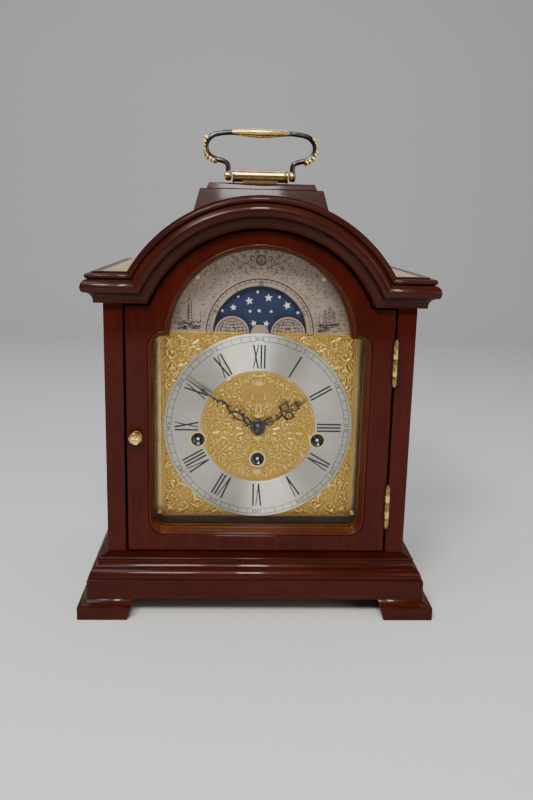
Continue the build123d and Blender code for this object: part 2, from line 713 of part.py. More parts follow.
with BuildPart() as dial_surround:
    surround_y = (FRONT_Y + DOOR_THICKNESS + 0.4, DIAL_Y)
    surround_depth = surround_y[1] - surround_y[0]
    roof_inner = ARCH_OUTER_R - ROOF_THICKNESS
    around = arched_outline(INNER_HALF_WIDTH, BASE_TOP_Z, SHOULDER_LOW_Z, ARCH_Z, roof_inner)
    window = arched_outline(85.5, 57.5, 219.0, SIGHT_ARCH_Z, 71.5)
    extrude(standing(around, surround_y[1]), amount=surround_depth)
    extrude(standing(window, surround_y[1]), amount=surround_depth, mode=Mode.SUBTRACT)
    clear_of_panels(surround_y)

dial_surround.part.label = "dial_surround"
export_step(dial_surround.part, "parts/dial_surround.step")

with BuildPart() as dial_plate:
    plate_outline = arched_outline(PLATE_HALF_WIDTH_DIAL, 54.0, 222.0, SIGHT_ARCH_Z, DIAL_ARCH_R)
    extrude(standing(plate_outline, DIAL_PLATE_Y[1]), amount=DIAL_PLATE_THICKNESS)
    winding_holes(DIAL_PLATE_Y)
    add(half_disc(MOON_OPENING_R + 1.0, DIAL_PLATE_Y, MOON_Z - 1.0), mode=Mode.SUBTRACT)

dial_plate.part.label = "dial_plate"
export_step(dial_plate.part, "parts/dial_plate.step")

with BuildPart() as chapter_ring:
    ring_y = (DIAL_Y - 1.2, DIAL_Y)
    rod(0, DIAL_Z, RING_OUTER_R, ring_y)
    rod(0, DIAL_Z, RING_INNER_R, ring_y, mode=Mode.SUBTRACT)
    winding_holes(ring_y)

chapter_ring.part.label = "chapter_ring"
export_step(chapter_ring.part, "parts/chapter_ring.step")

with BuildPart() as dial_relief_plates:
    spandrel_y = (DIAL_Y - 0.8, DIAL_Y)
    corner_gap = 14.0
    for x in ((-RELIEF_HALF_WIDTH, -corner_gap), (corner_gap, RELIEF_HALF_WIDTH)):
        block(x, spandrel_y, (RELIEF_LOW_Z, DIAL_Z - corner_gap))
        block(x, spandrel_y, (DIAL_Z + corner_gap, RELIEF_TOP_Z - 0.2))
    rod(0, DIAL_Z, RING_OUTER_R + 0.3, spandrel_y, mode=Mode.SUBTRACT)
    rod(0, DIAL_Z, RING_INNER_R - 0.1, spandrel_y)
    winding_holes(spandrel_y)

dial_relief_plates.part.label = "dial_relief_plates"
export_step(dial_relief_plates.part, "parts/dial_relief_plates.step")

ARCH_PLATE_Y = (DIAL_Y - 0.8, DIAL_Y)

with BuildPart() as moon_arch_plate:
    arch_plate_r = 70.8
    rod(0, SIGHT_ARCH_Z, arch_plate_r, ARCH_PLATE_Y)
    block((-90, 90), ARCH_PLATE_Y, (SIGHT_ARCH_Z - 90, RELIEF_TOP_Z), mode=Mode.SUBTRACT)
    add(half_disc(MOON_OPENING_R, ARCH_PLATE_Y), mode=Mode.SUBTRACT)
    for x, radius in ((-HUMP_X, HUMP_R), (HUMP_X, HUMP_R), (0, 6.9)):
        rod(x, MOON_Z - 0.6, radius, ARCH_PLATE_Y)
    block((-90, 90), ARCH_PLATE_Y, (SIGHT_ARCH_Z - 90, RELIEF_TOP_Z), mode=Mode.SUBTRACT)
    scale_y = (ARCH_PLATE_Y[0] - 0.7, ARCH_PLATE_Y[0])
    add(ring_half(MOON_OPENING_R, LUNAR_SCALE_R, scale_y))

moon_arch_plate.part.label = "moon_arch_plate"
export_step(moon_arch_plate.part, "parts/moon_arch_plate.step")

with BuildPart() as winding_grommets:
    grommet_y = (DIAL_Y - 2.0, DIAL_PLATE_Y[1])
    for x, z in WINDING_POINTS:
        rod(x, z, GROMMET_R, grommet_y)
        rod(x, z, GROMMET_R - 1.0, grommet_y, mode=Mode.SUBTRACT)

winding_grommets.part.label = "winding_grommets"
export_step(winding_grommets.part, "parts/winding_grommets.step")

with BuildPart() as dial_screws:
    for x, z, seat_y in ((77.6, 71.1, DIAL_Y), (47.5, 258.5, ARCH_PLATE_Y[0])):
        for side in (-1, 1):
            rod(side * x, z, 1.6, (seat_y - 1.1, seat_y))
            slot_x = (side * x - 2.0, side * x + 2.0)
            block(slot_x, (seat_y - 1.2, seat_y - 0.7), (z - 0.25, z + 0.25), mode=Mode.SUBTRACT)

dial_screws.part.label = "dial_screws"
export_step(dial_screws.part, "parts/dial_screws.step")

with BuildPart() as moon_disc:
    moon_y = (-56.2, -55.2)
    rod(0, MOON_Z, MOON_DISC_R, moon_y)
    rod(0, MOON_Z, 1.5 + RUNNING_GAP, moon_y, mode=Mode.SUBTRACT)

moon_disc.part.label = "moon_disc"
export_step(moon_disc.part, "parts/moon_disc.step")

with BuildPart() as moon_bridge:
    bar_y = (-53.6, -52.0)
    block((-47, 47), bar_y, (MOON_Z - 12, MOON_Z - 4))
    block((-4, 4), bar_y, (MOON_Z - 5, MOON_Z + 4))
    for side in (-1, 1):
        rod(side * 43.5, MOON_Z - 8, 2.5, (DIAL_PLATE_Y[1], bar_y[0]))
    rod(0, MOON_Z, 1.5, (-56.6, bar_y[0]))
    rod(0, MOON_Z, 2.6, (-56.9, -56.3))

moon_bridge.part.label = "moon_bridge"
export_step(moon_bridge.part, "parts/moon_bridge.step")

# ================================================================ hands
HOUR_PIPE_R = (1.75, 2.6)      # bore and outside of the hour pipe
CANNON_R = 1.65
MINUTE_HAND_Y = (-67.0, -66.2)
HOUR_HAND_Y = (-63.4, -62.6)


def hand_plane(y, angle):
    """Upright plane at depth y whose local y points along a hand."""
    turn = radians(angle)
    return Plane(origin=(0, y, DIAL_Z), x_dir=(cos(turn), 0, -sin(turn)), z_dir=(0, -1, 0))


def hand(y, angle, length, boss_r, blade, bore_r):
    """A serpentine hand: round boss, waist, curled leaf and pointed tip."""
    with BuildPart() as shaped:
        with BuildSketch(hand_plane(y[1], angle)):
            Circle(boss_r)
            with BuildLine():
                half = [
                    (1.1, boss_r * 0.8),
                    (1.0, length * 0.22),
                    (blade, length * 0.36),
                    (0.9, length * 0.50),
                    (blade * 0.55, length * 0.60),
                    (0.7, length * 0.72),
                    (0.25, length),
                ]
                Polyline(*half, *[(-x, z) for x, z in reversed(half)], close=True)
            make_face()
            Circle(bore_r, mode=Mode.SUBTRACT)
        extrude(amount=y[1] - y[0])
    return shaped.part


with BuildPart() as hand_nut:
    rod(0, DIAL_Z, 3.4, (MINUTE_HAND_Y[0] - 1.8, MINUTE_HAND_Y[0]))
    fillet(hand_nut.faces().sort_by(Axis.Y)[0].edges(), radius=1.3)

with BuildPart() as minute_hand:
    add(hand(MINUTE_HAND_Y, MINUTE_HAND_ANGLE, MINUTE_HAND_LENGTH, 4.2, 3.6, CANNON_R))
    add(hand_nut.part)

minute_hand.part.label = "minute_hand"
export_step(minute_hand.part, "parts/minute_hand.step")

with BuildPart() as hour_hand:
    add(hand(HOUR_HAND_Y, HOUR_HAND_ANGLE, HOUR_HAND_LENGTH, 6.0, 5.2, HOUR_PIPE_R[1]))

hour_hand.part.label = "hour_hand"
export_step(hour_hand.part, "parts/hour_hand.step")

# ================================================================ movement
CENTRE = (0.0, DIAL_Z)
STRIKE, TIME, CHIME = WINDING_POINTS
GREAT_TEETH = 84
CENTRE_PINION_TEETH = 12
GREAT_MODULE = 2 * (DIAL_Z - TIME[1]) / (GREAT_TEETH + CENTRE_PINION_TEETH)
CENTRE_TEETH = 80
CENTRE_MODULE = 0.5
THIRD_PINION_TEETH = 10
THIRD_TEETH = 75
THIRD_MODULE = 0.45
FOURTH_PINION_TEETH = 10
FOURTH_TEETH = 80
FOURTH_MODULE = 0.4
ESCAPE_PINION_TEETH = 8
SIDE_TEETH = 80
SIDE_MODULE = 0.54
DRUM_PINION_TEETH = 16


def next_arbor(start, angle, wheel_teeth, pinion_teeth, module):
    """Where the next arbor stands, one meshing distance away at an angle."""
    distance = module * (wheel_teeth + pinion_teeth) / 2
    turn = radians(angle)
    return (start[0] + distance * cos(turn), start[1] + distance * sin(turn))


THIRD = next_arbor(CENTRE, 60, CENTRE_TEETH, THIRD_PINION_TEETH, CENTRE_MODULE)
FOURTH = next_arbor(THIRD, 150, THIRD_TEETH, FOURTH_PINION_TEETH, THIRD_MODULE)
ESCAPE = next_arbor(FOURTH, 160, FOURTH_TEETH, ESCAPE_PINION_TEETH, FOURTH_MODULE)
PALLET = (ESCAPE[0] - 12.0, ESCAPE[1])
BALANCE = (PALLET[0] - 13.0, PALLET[1])
MINUTE_STUD = (12.0, DIAL_Z)
DRUM = next_arbor(CHIME, 90, SIDE_TEETH, DRUM_PINION_TEETH, SIDE_MODULE)
HAMMER_PIVOT = (40.0, 108.0)
PIVOTED = (THIRD, FOURTH, ESCAPE, PALLET, BALANCE)
PILLARS = ((-64.0, 93.0), (64.0, 93.0), (-64.0, 193.0), (64.0, 193.0))
WINDING_ARBOR_R = 2.5
BACK_PIVOT_R = 1.95


def movement_plate(y, barrel_hole_r, drum_hole_r):
    """A brass movement plate drilled for the arbors and the three barrels."""
    with BuildPart() as drilled:
        block((-PLATE_HALF_WIDTH, PLATE_HALF_WIDTH), y, (PLATE_LOW_Z, PLATE_TOP_Z))
        for x, z in PIVOTED:
            rod(x, z, PIVOT_R + RUNNING_GAP, y, mode=Mode.SUBTRACT)
        for x, z in WINDING_POINTS:
            rod(x, z, barrel_hole_r + RUNNING_GAP, y, mode=Mode.SUBTRACT)
        rod(CENTRE[0], CENTRE[1], ARBOR_R + RUNNING_GAP, y, mode=Mode.SUBTRACT)
        if drum_hole_r > 0:
            rod(DRUM[0], DRUM[1], drum_hole_r + RUNNING_GAP, y, mode=Mode.SUBTRACT)
    return drilled.part


with BuildPart() as movement_front_plate:
    add(movement_plate(FRONT_PLATE_Y, WINDING_ARBOR_R, PIVOT_R))
    rod(MINUTE_STUD[0], MINUTE_STUD[1], 1.0, (-55.5, FRONT_PLATE_Y[0]))

movement_front_plate.part.label = "movement_front_plate"
export_step(movement_front_plate.part, "parts/movement_front_plate.step")

with BuildPart() as movement_back_plate:
    add(movement_plate(BACK_PLATE_Y, BACK_PIVOT_R, ARBOR_R))

movement_back_plate.part.label = "movement_back_plate"
export_step(movement_back_plate.part, "parts/movement_back_plate.step")

with BuildPart() as movement_pillars:
    for x, z in PILLARS:
        rod(x, z, 3.5, (FRONT_PLATE_Y[1], BACK_PLATE_Y[0]))
        rod(x, z, 2.5, (DIAL_PLATE_Y[1], FRONT_PLATE_Y[0]))

movement_pillars.part.label = "movement_pillars"
export_step(movement_pillars.part, "parts/movement_pillars.step")

with BuildPart() as seat_board:
    block((-INNER_HALF_WIDTH, INNER_HALF_WIDTH), (-50.0, 4.0), (76.0, PLATE_LOW_Z))

seat_board.part.label = "seat_board"
export_step(seat_board.part, "parts/seat_board.step")

BARREL_DRUM_Y = (-38.0, -14.0)
GREAT_WHEEL_Y = (-12.5, -10.0)
BARREL_BORE_R = WINDING_ARBOR_R + RUNNING_GAP
time_phase = wheel_phase(TIME, CENTRE, GREAT_TEETH)
chime_phase = wheel_phase(CHIME, DRUM, SIDE_TEETH)

for name, place, teeth, module, phase in (
    ("time_barrel", TIME, GREAT_TEETH, GREAT_MODULE, time_phase),
    ("strike_barrel", STRIKE, SIDE_TEETH, SIDE_MODULE, 0.0),
    ("chime_barrel", CHIME, SIDE_TEETH, SIDE_MODULE, chime_phase),
):
    with BuildPart() as barrel:
        add(gear(place, teeth, module, GREAT_WHEEL_Y, phase))
        rod(place[0], place[1], 19.5, (BARREL_DRUM_Y[0], GREAT_WHEEL_Y[0]))
        hub_y = (BARREL_DRUM_Y[0] - 0.1, GREAT_WHEEL_Y[1] + 0.1)
        rod(place[0], place[1], BARREL_BORE_R, hub_y, mode=Mode.SUBTRACT)
    barrel.part.label = name
    export_step(barrel.part, f"parts/{name}.step")

for name, place in (
    ("time_winding_arbor", TIME),
    ("strike_winding_arbor", STRIKE),
    ("chime_winding_arbor", CHIME),
):
    with BuildPart() as winding_arbor:
        rod(place[0], place[1], WINDING_ARBOR_R, (-52.0, BACK_PLATE_Y[0] - 0.2))
        rod(place[0], place[1], BACK_PIVOT_R, (BACK_PLATE_Y[0] - 0.2, BACK_PLATE_Y[1] + 1.0))
        square = (place[0] - 1.7, place[0] + 1.7)
        block(square, (-59.5, -52.0), (place[1] - 1.7, place[1] + 1.7))
        ratchet_y = (FRONT_PLATE_Y[0] - 2.2, FRONT_PLATE_Y[0] - 0.4)
        add(gear(place, 24, 0.7, ratchet_y))
    winding_arbor.part.label = name
    export_step(winding_arbor.part, f"parts/{name}.step")

CENTRE_WHEEL_Y = (-43.5, -42.0)
CENTRE_PINION_Y = (-13.0, -9.5)
CANNON_Y = (-51.0, -48.4)
MINUTE_WHEEL_Y = (-50.6, -49.2)
MINUTE_PINION_Y = (-54.4, -50.6)
HOUR_WHEEL_Y = (-53.8, -52.4)

with BuildPart() as centre_arbor:
    add(gear(CENTRE, CENTRE_TEETH, CENTRE_MODULE, CENTRE_WHEEL_Y, wheel_phase(CENTRE, THIRD, CENTRE_TEETH)))
    add(gear(CENTRE, CENTRE_PINION_TEETH, GREAT_MODULE, CENTRE_PINION_Y, pinion_phase(CENTRE, TIME)))
    add(gear(CENTRE, 12, 0.5, CANNON_Y, wheel_phase(CENTRE, MINUTE_STUD, 12)))
    rod(CENTRE[0], CENTRE[1], ARBOR_R, (CANNON_Y[1], BACK_PLATE_Y[1]))
    rod(CENTRE[0], CENTRE[1], CANNON_R, (MINUTE_HAND_Y[0], CANNON_Y[0]))

centre_arbor.part.label = "centre_arbor"
export_step(centre_arbor.part, "parts/centre_arbor.step")

with BuildPart() as minute_wheel:
    add(gear(MINUTE_STUD, 36, 0.5, MINUTE_WHEEL_Y, pinion_phase(MINUTE_STUD, CENTRE)))
    add(gear(MINUTE_STUD, 12, 0.4, MINUTE_PINION_Y, pinion_phase(MINUTE_STUD, CENTRE)))
    stud_y = (MINUTE_PINION_Y[0], MINUTE_WHEEL_Y[1])
    rod(MINUTE_STUD[0], MINUTE_STUD[1], 1.0 + RUNNING_GAP, stud_y, mode=Mode.SUBTRACT)

minute_wheel.part.label = "minute_wheel"
export_step(minute_wheel.part, "parts/minute_wheel.step")

with BuildPart() as hour_wheel:
    add(gear(CENTRE, 48, 0.4, HOUR_WHEEL_Y, wheel_phase(CENTRE, MINUTE_STUD, 48)))
    rod(CENTRE[0], CENTRE[1], HOUR_PIPE_R[1], (HOUR_HAND_Y[0] - 0.6, HOUR_WHEEL_Y[0]))
    pipe_y = (HOUR_HAND_Y[0] - 0.6, HOUR_WHEEL_Y[1])
    rod(CENTRE[0], CENTRE[1], HOUR_PIPE_R[0], pipe_y, mode=Mode.SUBTRACT)

hour_wheel.part.label = "hour_wheel"
export_step(hour_wheel.part, "parts/hour_wheel.step")

with BuildPart() as third_wheel:
    add(gear(THIRD, THIRD_TEETH, THIRD_MODULE, (-24.0, -22.5), wheel_phase(THIRD, FOURTH, THIRD_TEETH)))
    add(gear(THIRD, THIRD_PINION_TEETH, CENTRE_MODULE, (-44.2, -41.0), pinion_phase(THIRD, CENTRE)))
    arbor(THIRD)

third_wheel.part.label = "third_wheel"
export_step(third_wheel.part, "parts/third_wheel.step")

with BuildPart() as fourth_wheel:
    add(gear(FOURTH, FOURTH_TEETH, FOURTH_MODULE, (-31.0, -29.5), wheel_phase(FOURTH, ESCAPE, FOURTH_TEETH)))
    add(gear(FOURTH, FOURTH_PINION_TEETH, THIRD_MODULE, (-25.0, -21.5), pinion_phase(FOURTH, THIRD)))
    arbor(FOURTH)

fourth_wheel.part.label = "fourth_wheel"
export_step(fourth_wheel.part, "parts/fourth_wheel.step")

with BuildPart() as escape_wheel:
    add(gear(ESCAPE, 15, 1.0, (-20.0, -19.0)))
    add(gear(ESCAPE, ESCAPE_PINION_TEETH, FOURTH_MODULE, (-32.0, -28.5), pinion_phase(ESCAPE, FOURTH)))
    arbor(ESCAPE)

escape_wheel.part.label = "escape_wheel"
export_step(escape_wheel.part, "parts/escape_wheel.step")

with BuildPart() as pallet_lever:
    block((PALLET[0] - 6.5, PALLET[0]), (-20.0, -19.0), (PALLET[1] - 0.6, PALLET[1] + 0.6))
    block((PALLET[0] - 1, PALLET[0] + 1.2), (-20.0, -19.0), (PALLET[1] - 5.0, PALLET[1] + 5.0))
    for side in (-1, 1):
        pallet_z = sorted((PALLET[1] + side * 5.0, PALLET[1] + side * 3.8))
        block((PALLET[0] + 1.0, PALLET[0] + 2.6), (-20.0, -19.0), pallet_z)
    arbor(PALLET)

pallet_lever.part.label = "pallet_lever"
export_step(pallet_lever.part, "parts/pallet_lever.step")

with BuildPart() as balance_wheel:
    rod(BALANCE[0], BALANCE[1], 9.0, (-26.0, -24.4))
    rod(BALANCE[0], BALANCE[1], 7.4, (-26.0, -24.4), mode=Mode.SUBTRACT)
    block((BALANCE[0] - 7.8, BALANCE[0] + 7.8), (-25.6, -24.8), (BALANCE[1] - 1, BALANCE[1] + 1))
    arbor(BALANCE)

balance_wheel.part.label = "balance_wheel"
export_step(balance_wheel.part, "parts/balance_wheel.step")

# ================================================================ chime and strike
HAMMER_YS = (12.0, 21.0, 30.0, 39.0)
ROD_Z = 70.0
GONG_ROD_R = 1.5
BRACKET_Y = (46.0, 48.0)
HEAD_X = 12.0

with BuildPart() as chime_drum:
    add(gear(DRUM, DRUM_PINION_TEETH, SIDE_MODULE, (-13.0, -9.5), pinion_phase(DRUM, CHIME)))
    rod(DRUM[0], DRUM[1], ARBOR_R, (FRONT_PLATE_Y[1] + 0.5, BRACKET_Y[0] - 0.5))
    rod(DRUM[0], DRUM[1], PIVOT_R, (FRONT_PLATE_Y[0], BRACKET_Y[1]))
    for number, y in enumerate(HAMMER_YS):
        rod(DRUM[0], DRUM[1], 7.0, (y - 2.0, y + 2.0))
        pin_gap = 0.6
        for turn in range(4):
            angle = radians(90.0 * turn + 22.5 * number)
            pin_x = DRUM[0] + 7.3 * cos(angle)
            pin_z = DRUM[1] + 7.3 * sin(angle)
            rod(pin_x, pin_z, 1.0, (y - pin_gap, y + pin_gap))

chime_drum.part.label = "chime_drum"
export_step(chime_drum.part, "parts/chime_drum.step")

with BuildPart() as hammer_bracket:
    block((30.0, 62.0), BRACKET_Y, (98.0, 170.0))
    for x, z in ((34.0, 166.0), (58.0, 166.0), (58.0, 102.0)):
        rod(x, z, 2.5, (BACK_PLATE_Y[1], BRACKET_Y[0]))
    rod(HAMMER_PIVOT[0], HAMMER_PIVOT[1], 1.5, (BACK_PLATE_Y[1], BRACKET_Y[0]))
    rod(DRUM[0], DRUM[1], PIVOT_R + RUNNING_GAP, BRACKET_Y, mode=Mode.SUBTRACT)

hammer_bracket.part.label = "hammer_bracket"
export_step(hammer_bracket.part, "parts/hammer_bracket.step")

for number, y in enumerate(HAMMER_YS):
    hammer_y = (y - 1.0, y + 1.0)
    head_low_z = ROD_Z + GONG_ROD_R + 1.2
    with BuildPart() as hammer:
        rod(HAMMER_PIVOT[0], HAMMER_PIVOT[1], 3.6, (y - 2.5, y + 2.5))
        with BuildSketch(front_view(hammer_y[1])):
            with BuildLine():
                Polyline(
                    (HAMMER_PIVOT[0] - 2.6, HAMMER_PIVOT[1] + 1.0),
                    (HEAD_X - 1.4, head_low_z + 5.0),
                    (HEAD_X + 1.4, head_low_z + 4.0),
                    (HAMMER_PIVOT[0] + 0.5, HAMMER_PIVOT[1] - 2.8),
                    close=True,
                )
            make_face()
        extrude(amount=hammer_y[1] - hammer_y[0])
        tail_z = (HAMMER_PIVOT[1] + 2.0, HAMMER_PIVOT[1] + 40.5)
        block((HAMMER_PIVOT[0] - 0.9, HAMMER_PIVOT[0] + 0.9), hammer_y, tail_z)
        post(HEAD_X, y, 3.6, (head_low_z, head_low_z + 8.0))
        rod(HAMMER_PIVOT[0], HAMMER_PIVOT[1], 1.5 + RUNNING_GAP, (y - 2.5, y + 2.5), mode=Mode.SUBTRACT)
    hammer.part.label = f"hammer_{number + 1}"
    export_step(hammer.part, f"parts/hammer_{number + 1}.step")

GONG_BLOCK_X = (-90.0, -72.0)

with BuildPart() as gong_block:
    block(GONG_BLOCK_X, (6.0, 46.0), (BASE_TOP_Z, ROD_Z + 7.0))
    for y in HAMMER_YS:
        block((GONG_BLOCK_X[1] - 1.2, GONG_BLOCK_X[1]), (y - 3.8, y + 3.8), (ROD_Z - 4.0, ROD_Z + 7.0))

gong_block.part.label = "gong_block"
export_step(gong_block.part, "parts/gong_block.step")

with BuildPart() as chime_rods:
    for number, y in enumerate(HAMMER_YS):
        far_x = 62.0 - 11.0 * number
        with Locations(((GONG_BLOCK_X[1] + far_x) / 2, y, ROD_Z)):
            Cylinder(GONG_ROD_R, far_x - GONG_BLOCK_X[1], rotation=(0, 90, 0))

chime_rods.part.label = "chime_rods"
export_step(chime_rods.part, "parts/chime_rods.step")
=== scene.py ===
import json
import random
from itertools import product
from math import atan2, cos, hypot, pi, radians, sin, sqrt

import bmesh
import bpy
import numpy as np
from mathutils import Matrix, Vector


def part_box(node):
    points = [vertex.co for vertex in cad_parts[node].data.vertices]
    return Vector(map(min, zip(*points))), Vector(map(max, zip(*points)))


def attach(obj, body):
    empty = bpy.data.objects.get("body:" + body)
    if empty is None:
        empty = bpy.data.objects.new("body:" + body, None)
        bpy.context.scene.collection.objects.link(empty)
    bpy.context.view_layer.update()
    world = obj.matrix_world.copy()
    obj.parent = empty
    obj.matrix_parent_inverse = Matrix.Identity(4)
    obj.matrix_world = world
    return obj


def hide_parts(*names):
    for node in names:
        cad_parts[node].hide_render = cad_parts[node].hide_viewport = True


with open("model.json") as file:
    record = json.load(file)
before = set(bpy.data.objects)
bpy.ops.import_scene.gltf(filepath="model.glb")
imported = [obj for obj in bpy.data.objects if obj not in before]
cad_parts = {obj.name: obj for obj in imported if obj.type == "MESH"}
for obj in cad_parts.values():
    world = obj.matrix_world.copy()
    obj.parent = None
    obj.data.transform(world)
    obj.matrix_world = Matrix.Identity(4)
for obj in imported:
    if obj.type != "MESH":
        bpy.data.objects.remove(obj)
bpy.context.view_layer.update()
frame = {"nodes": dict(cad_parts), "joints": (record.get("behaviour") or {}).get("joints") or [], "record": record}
NODES = frame["nodes"]
JOINTS = {joint["name"]: joint for joint in frame["joints"]}
MM = 0.001

# ---------------------------------------------------------------- places taken from the frame
DIAL_Z = JOINTS["minute_hand_turn"]["pos_m"][2]
MOON_Z = JOINTS["moon_disc_turn"]["pos_m"][2]
RING_LOW, RING_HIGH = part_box("chapter_ring")
RING_R = (RING_HIGH.x - RING_LOW.x) / 2
RING_INNER_R = 45.0 * MM
RING_FACE_Y = RING_LOW.y
RELIEF_LOW, RELIEF_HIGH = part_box("dial_relief_plates")
ARCH_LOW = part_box("moon_arch_plate")[0]
MOON_DISC_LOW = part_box("moon_disc")[0]
KNOB_LOW, KNOB_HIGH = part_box("door_knob")
BAIL_LOW, BAIL_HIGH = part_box("handle_bail")
BARREL_LOW, BARREL_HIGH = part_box("handle_barrel")
HANDLE_Y = JOINTS["handle_swing"]["pos_m"][1]
HANDLE_Z = JOINTS["handle_swing"]["pos_m"][2]
WINDING = [tuple(JOINTS[name]["pos_m"][i] for i in (0, 2)) for name in
           ("strike_winding", "time_winding", "chime_winding")]
GROMMET_R = 6.5 * MM
ARCH_CENTRE_Z = 206.0 * MM
ARCH_GRAIN_R = 100.0 * MM


# ---------------------------------------------------------------- camera
def make_camera():
    """Just above the clock, a little left of its middle, looking slightly down."""
    data = bpy.data.cameras.new("camera")
    data.lens = 36.2
    data.sensor_width = 36.0
    data.clip_start = 0.01
    data.dof.use_dof = False
    camera = bpy.data.objects.new("camera", data)
    camera.location = (-0.0211, -0.6728, 0.3021)
    camera.rotation_euler = (radians(77.346), radians(-1.285), radians(-2.265))
    bpy.context.scene.collection.objects.link(camera)
    bpy.context.scene.camera = camera


make_camera()


# ---------------------------------------------------------------- node helpers
class Look:
    """A material being built, with short calls for the nodes it uses."""

    def __init__(self, name):
        self.material = bpy.data.materials.new(name)
        self.material.use_nodes = True
        self.tree = self.material.node_tree
        self.shader = self.tree.nodes["Principled BSDF"]

    def node(self, kind, **values):
        made = self.tree.nodes.new(kind)
        for key, value in values.items():
            setattr(made, key, value)
        return made

    def link(self, source, target):
        self.tree.links.new(source, target)

    def set(self, **values):
        """Plain values on the shader, by socket name with spaces as underscores."""
        for key, value in values.items():
            self.shader.inputs[key.replace("_", " ")].default_value = value

    def place(self, scale=(1, 1, 1), source=None, turn=(0, 0, 0)):
        """Object coordinates, scaled and turned."""
        mapping = self.node("ShaderNodeMapping")
        mapping.inputs["Scale"].default_value = scale
        mapping.inputs["Rotation"].default_value = turn
        if source is None:
            source = self.node("ShaderNodeTexCoord").outputs["Object"]
        self.link(source, mapping.inputs["Vector"])
        return mapping.outputs["Vector"]

    def noise(self, vector, scale, detail=6.0, rough=0.6, distortion=0.0):
        made = self.node("ShaderNodeTexNoise")
        made.inputs["Scale"].default_value = scale
        made.inputs["Detail"].default_value = detail
        made.inputs["Roughness"].default_value = rough
        made.inputs["Distortion"].default_value = distortion
        self.link(vector, made.inputs["Vector"])
        return made.outputs["Fac"]

    def ramp(self, fac, *stops):
        made = self.node("ShaderNodeValToRGB")
        elements = made.color_ramp.elements
        while len(elements) < len(stops):
            elements.new(0.5)
        for element, (position, colour) in zip(elements, stops):
            element.position = position
            element.color = (*colour, 1.0) if len(colour) == 3 else colour
        self.link(fac, made.inputs["Fac"])
        return made.outputs["Color"]

    def mix(self, fac, a, b, kind="MIX"):
        made = self.node("ShaderNodeMix", data_type="RGBA", blend_type=kind)
        for value, socket in ((fac, made.inputs[0]), (a, made.inputs[6]), (b, made.inputs[7])):
            if hasattr(value, "is_output"):
                self.link(value, socket)
            elif isinstance(value, tuple):
                socket.default_value = (*value, 1.0)
            else:
                socket.default_value = value
        return made.outputs[2]

    def span(self, fac, low, high):
        """Maps 0..1 to a range."""
        made = self.node("ShaderNodeMapRange")
        made.inputs["To Min"].default_value = low
        made.inputs["To Max"].default_value = high
        self.link(fac, made.inputs["Value"])
        return made.outputs["Result"]

    def bump(self, height, strength, distance):
        made = self.node("ShaderNodeBump")
        made.inputs["Strength"].default_value = strength
        made.inputs["Distance"].default_value = distance
        self.link(height, made.inputs["Height"])
        if self.shader.inputs["Normal"].is_linked:
            self.link(self.shader.inputs["Normal"].links[0].from_socket, made.inputs["Normal"])
        self.link(made.outputs["Normal"], self.shader.inputs["Normal"])

    def colour(self, socket):
        self.link(socket, self.shader.inputs["Base Color"])

    def rough(self, fac, low, high):
        self.link(self.span(fac, low, high), self.shader.inputs["Roughness"])


def arc_vector(look):
    """Coordinates that run along the arch: arc length, depth and radius."""
    coords = look.node("ShaderNodeSeparateXYZ")
    look.link(look.node("ShaderNodeTexCoord").outputs["Object"], coords.inputs[0])
    lifted = look.node("ShaderNodeMath", operation="SUBTRACT")
    look.link(coords.outputs["Z"], lifted.inputs[0])
    lifted.inputs[1].default_value = ARCH_CENTRE_Z
    angle = look.node("ShaderNodeMath", operation="ARCTAN2")
    look.link(lifted.outputs[0], angle.inputs[0])
    look.link(coords.outputs["X"], angle.inputs[1])
    run = look.node("ShaderNodeMath", operation="MULTIPLY")
    look.link(angle.outputs[0], run.inputs[0])
    run.inputs[1].default_value = ARCH_GRAIN_R
    flat = look.node("ShaderNodeCombineXYZ")
    look.link(coords.outputs["X"], flat.inputs["X"])
    look.link(lifted.outputs[0], flat.inputs["Y"])
    length = look.node("ShaderNodeVectorMath", operation="LENGTH")
    look.link(flat.outputs[0], length.inputs[0])
    joined = look.node("ShaderNodeCombineXYZ")
    look.link(run.outputs[0], joined.inputs["X"])
    look.link(coords.outputs["Y"], joined.inputs["Y"])
    look.link(length.outputs["Value"], joined.inputs["Z"])
    return joined.outputs[0]


# ---------------------------------------------------------------- materials
GRAIN = {"x": (0.09, 1, 1), "y": (1, 0.09, 1), "z": (1, 1, 0.09), "arc": (0.09, 1, 1)}


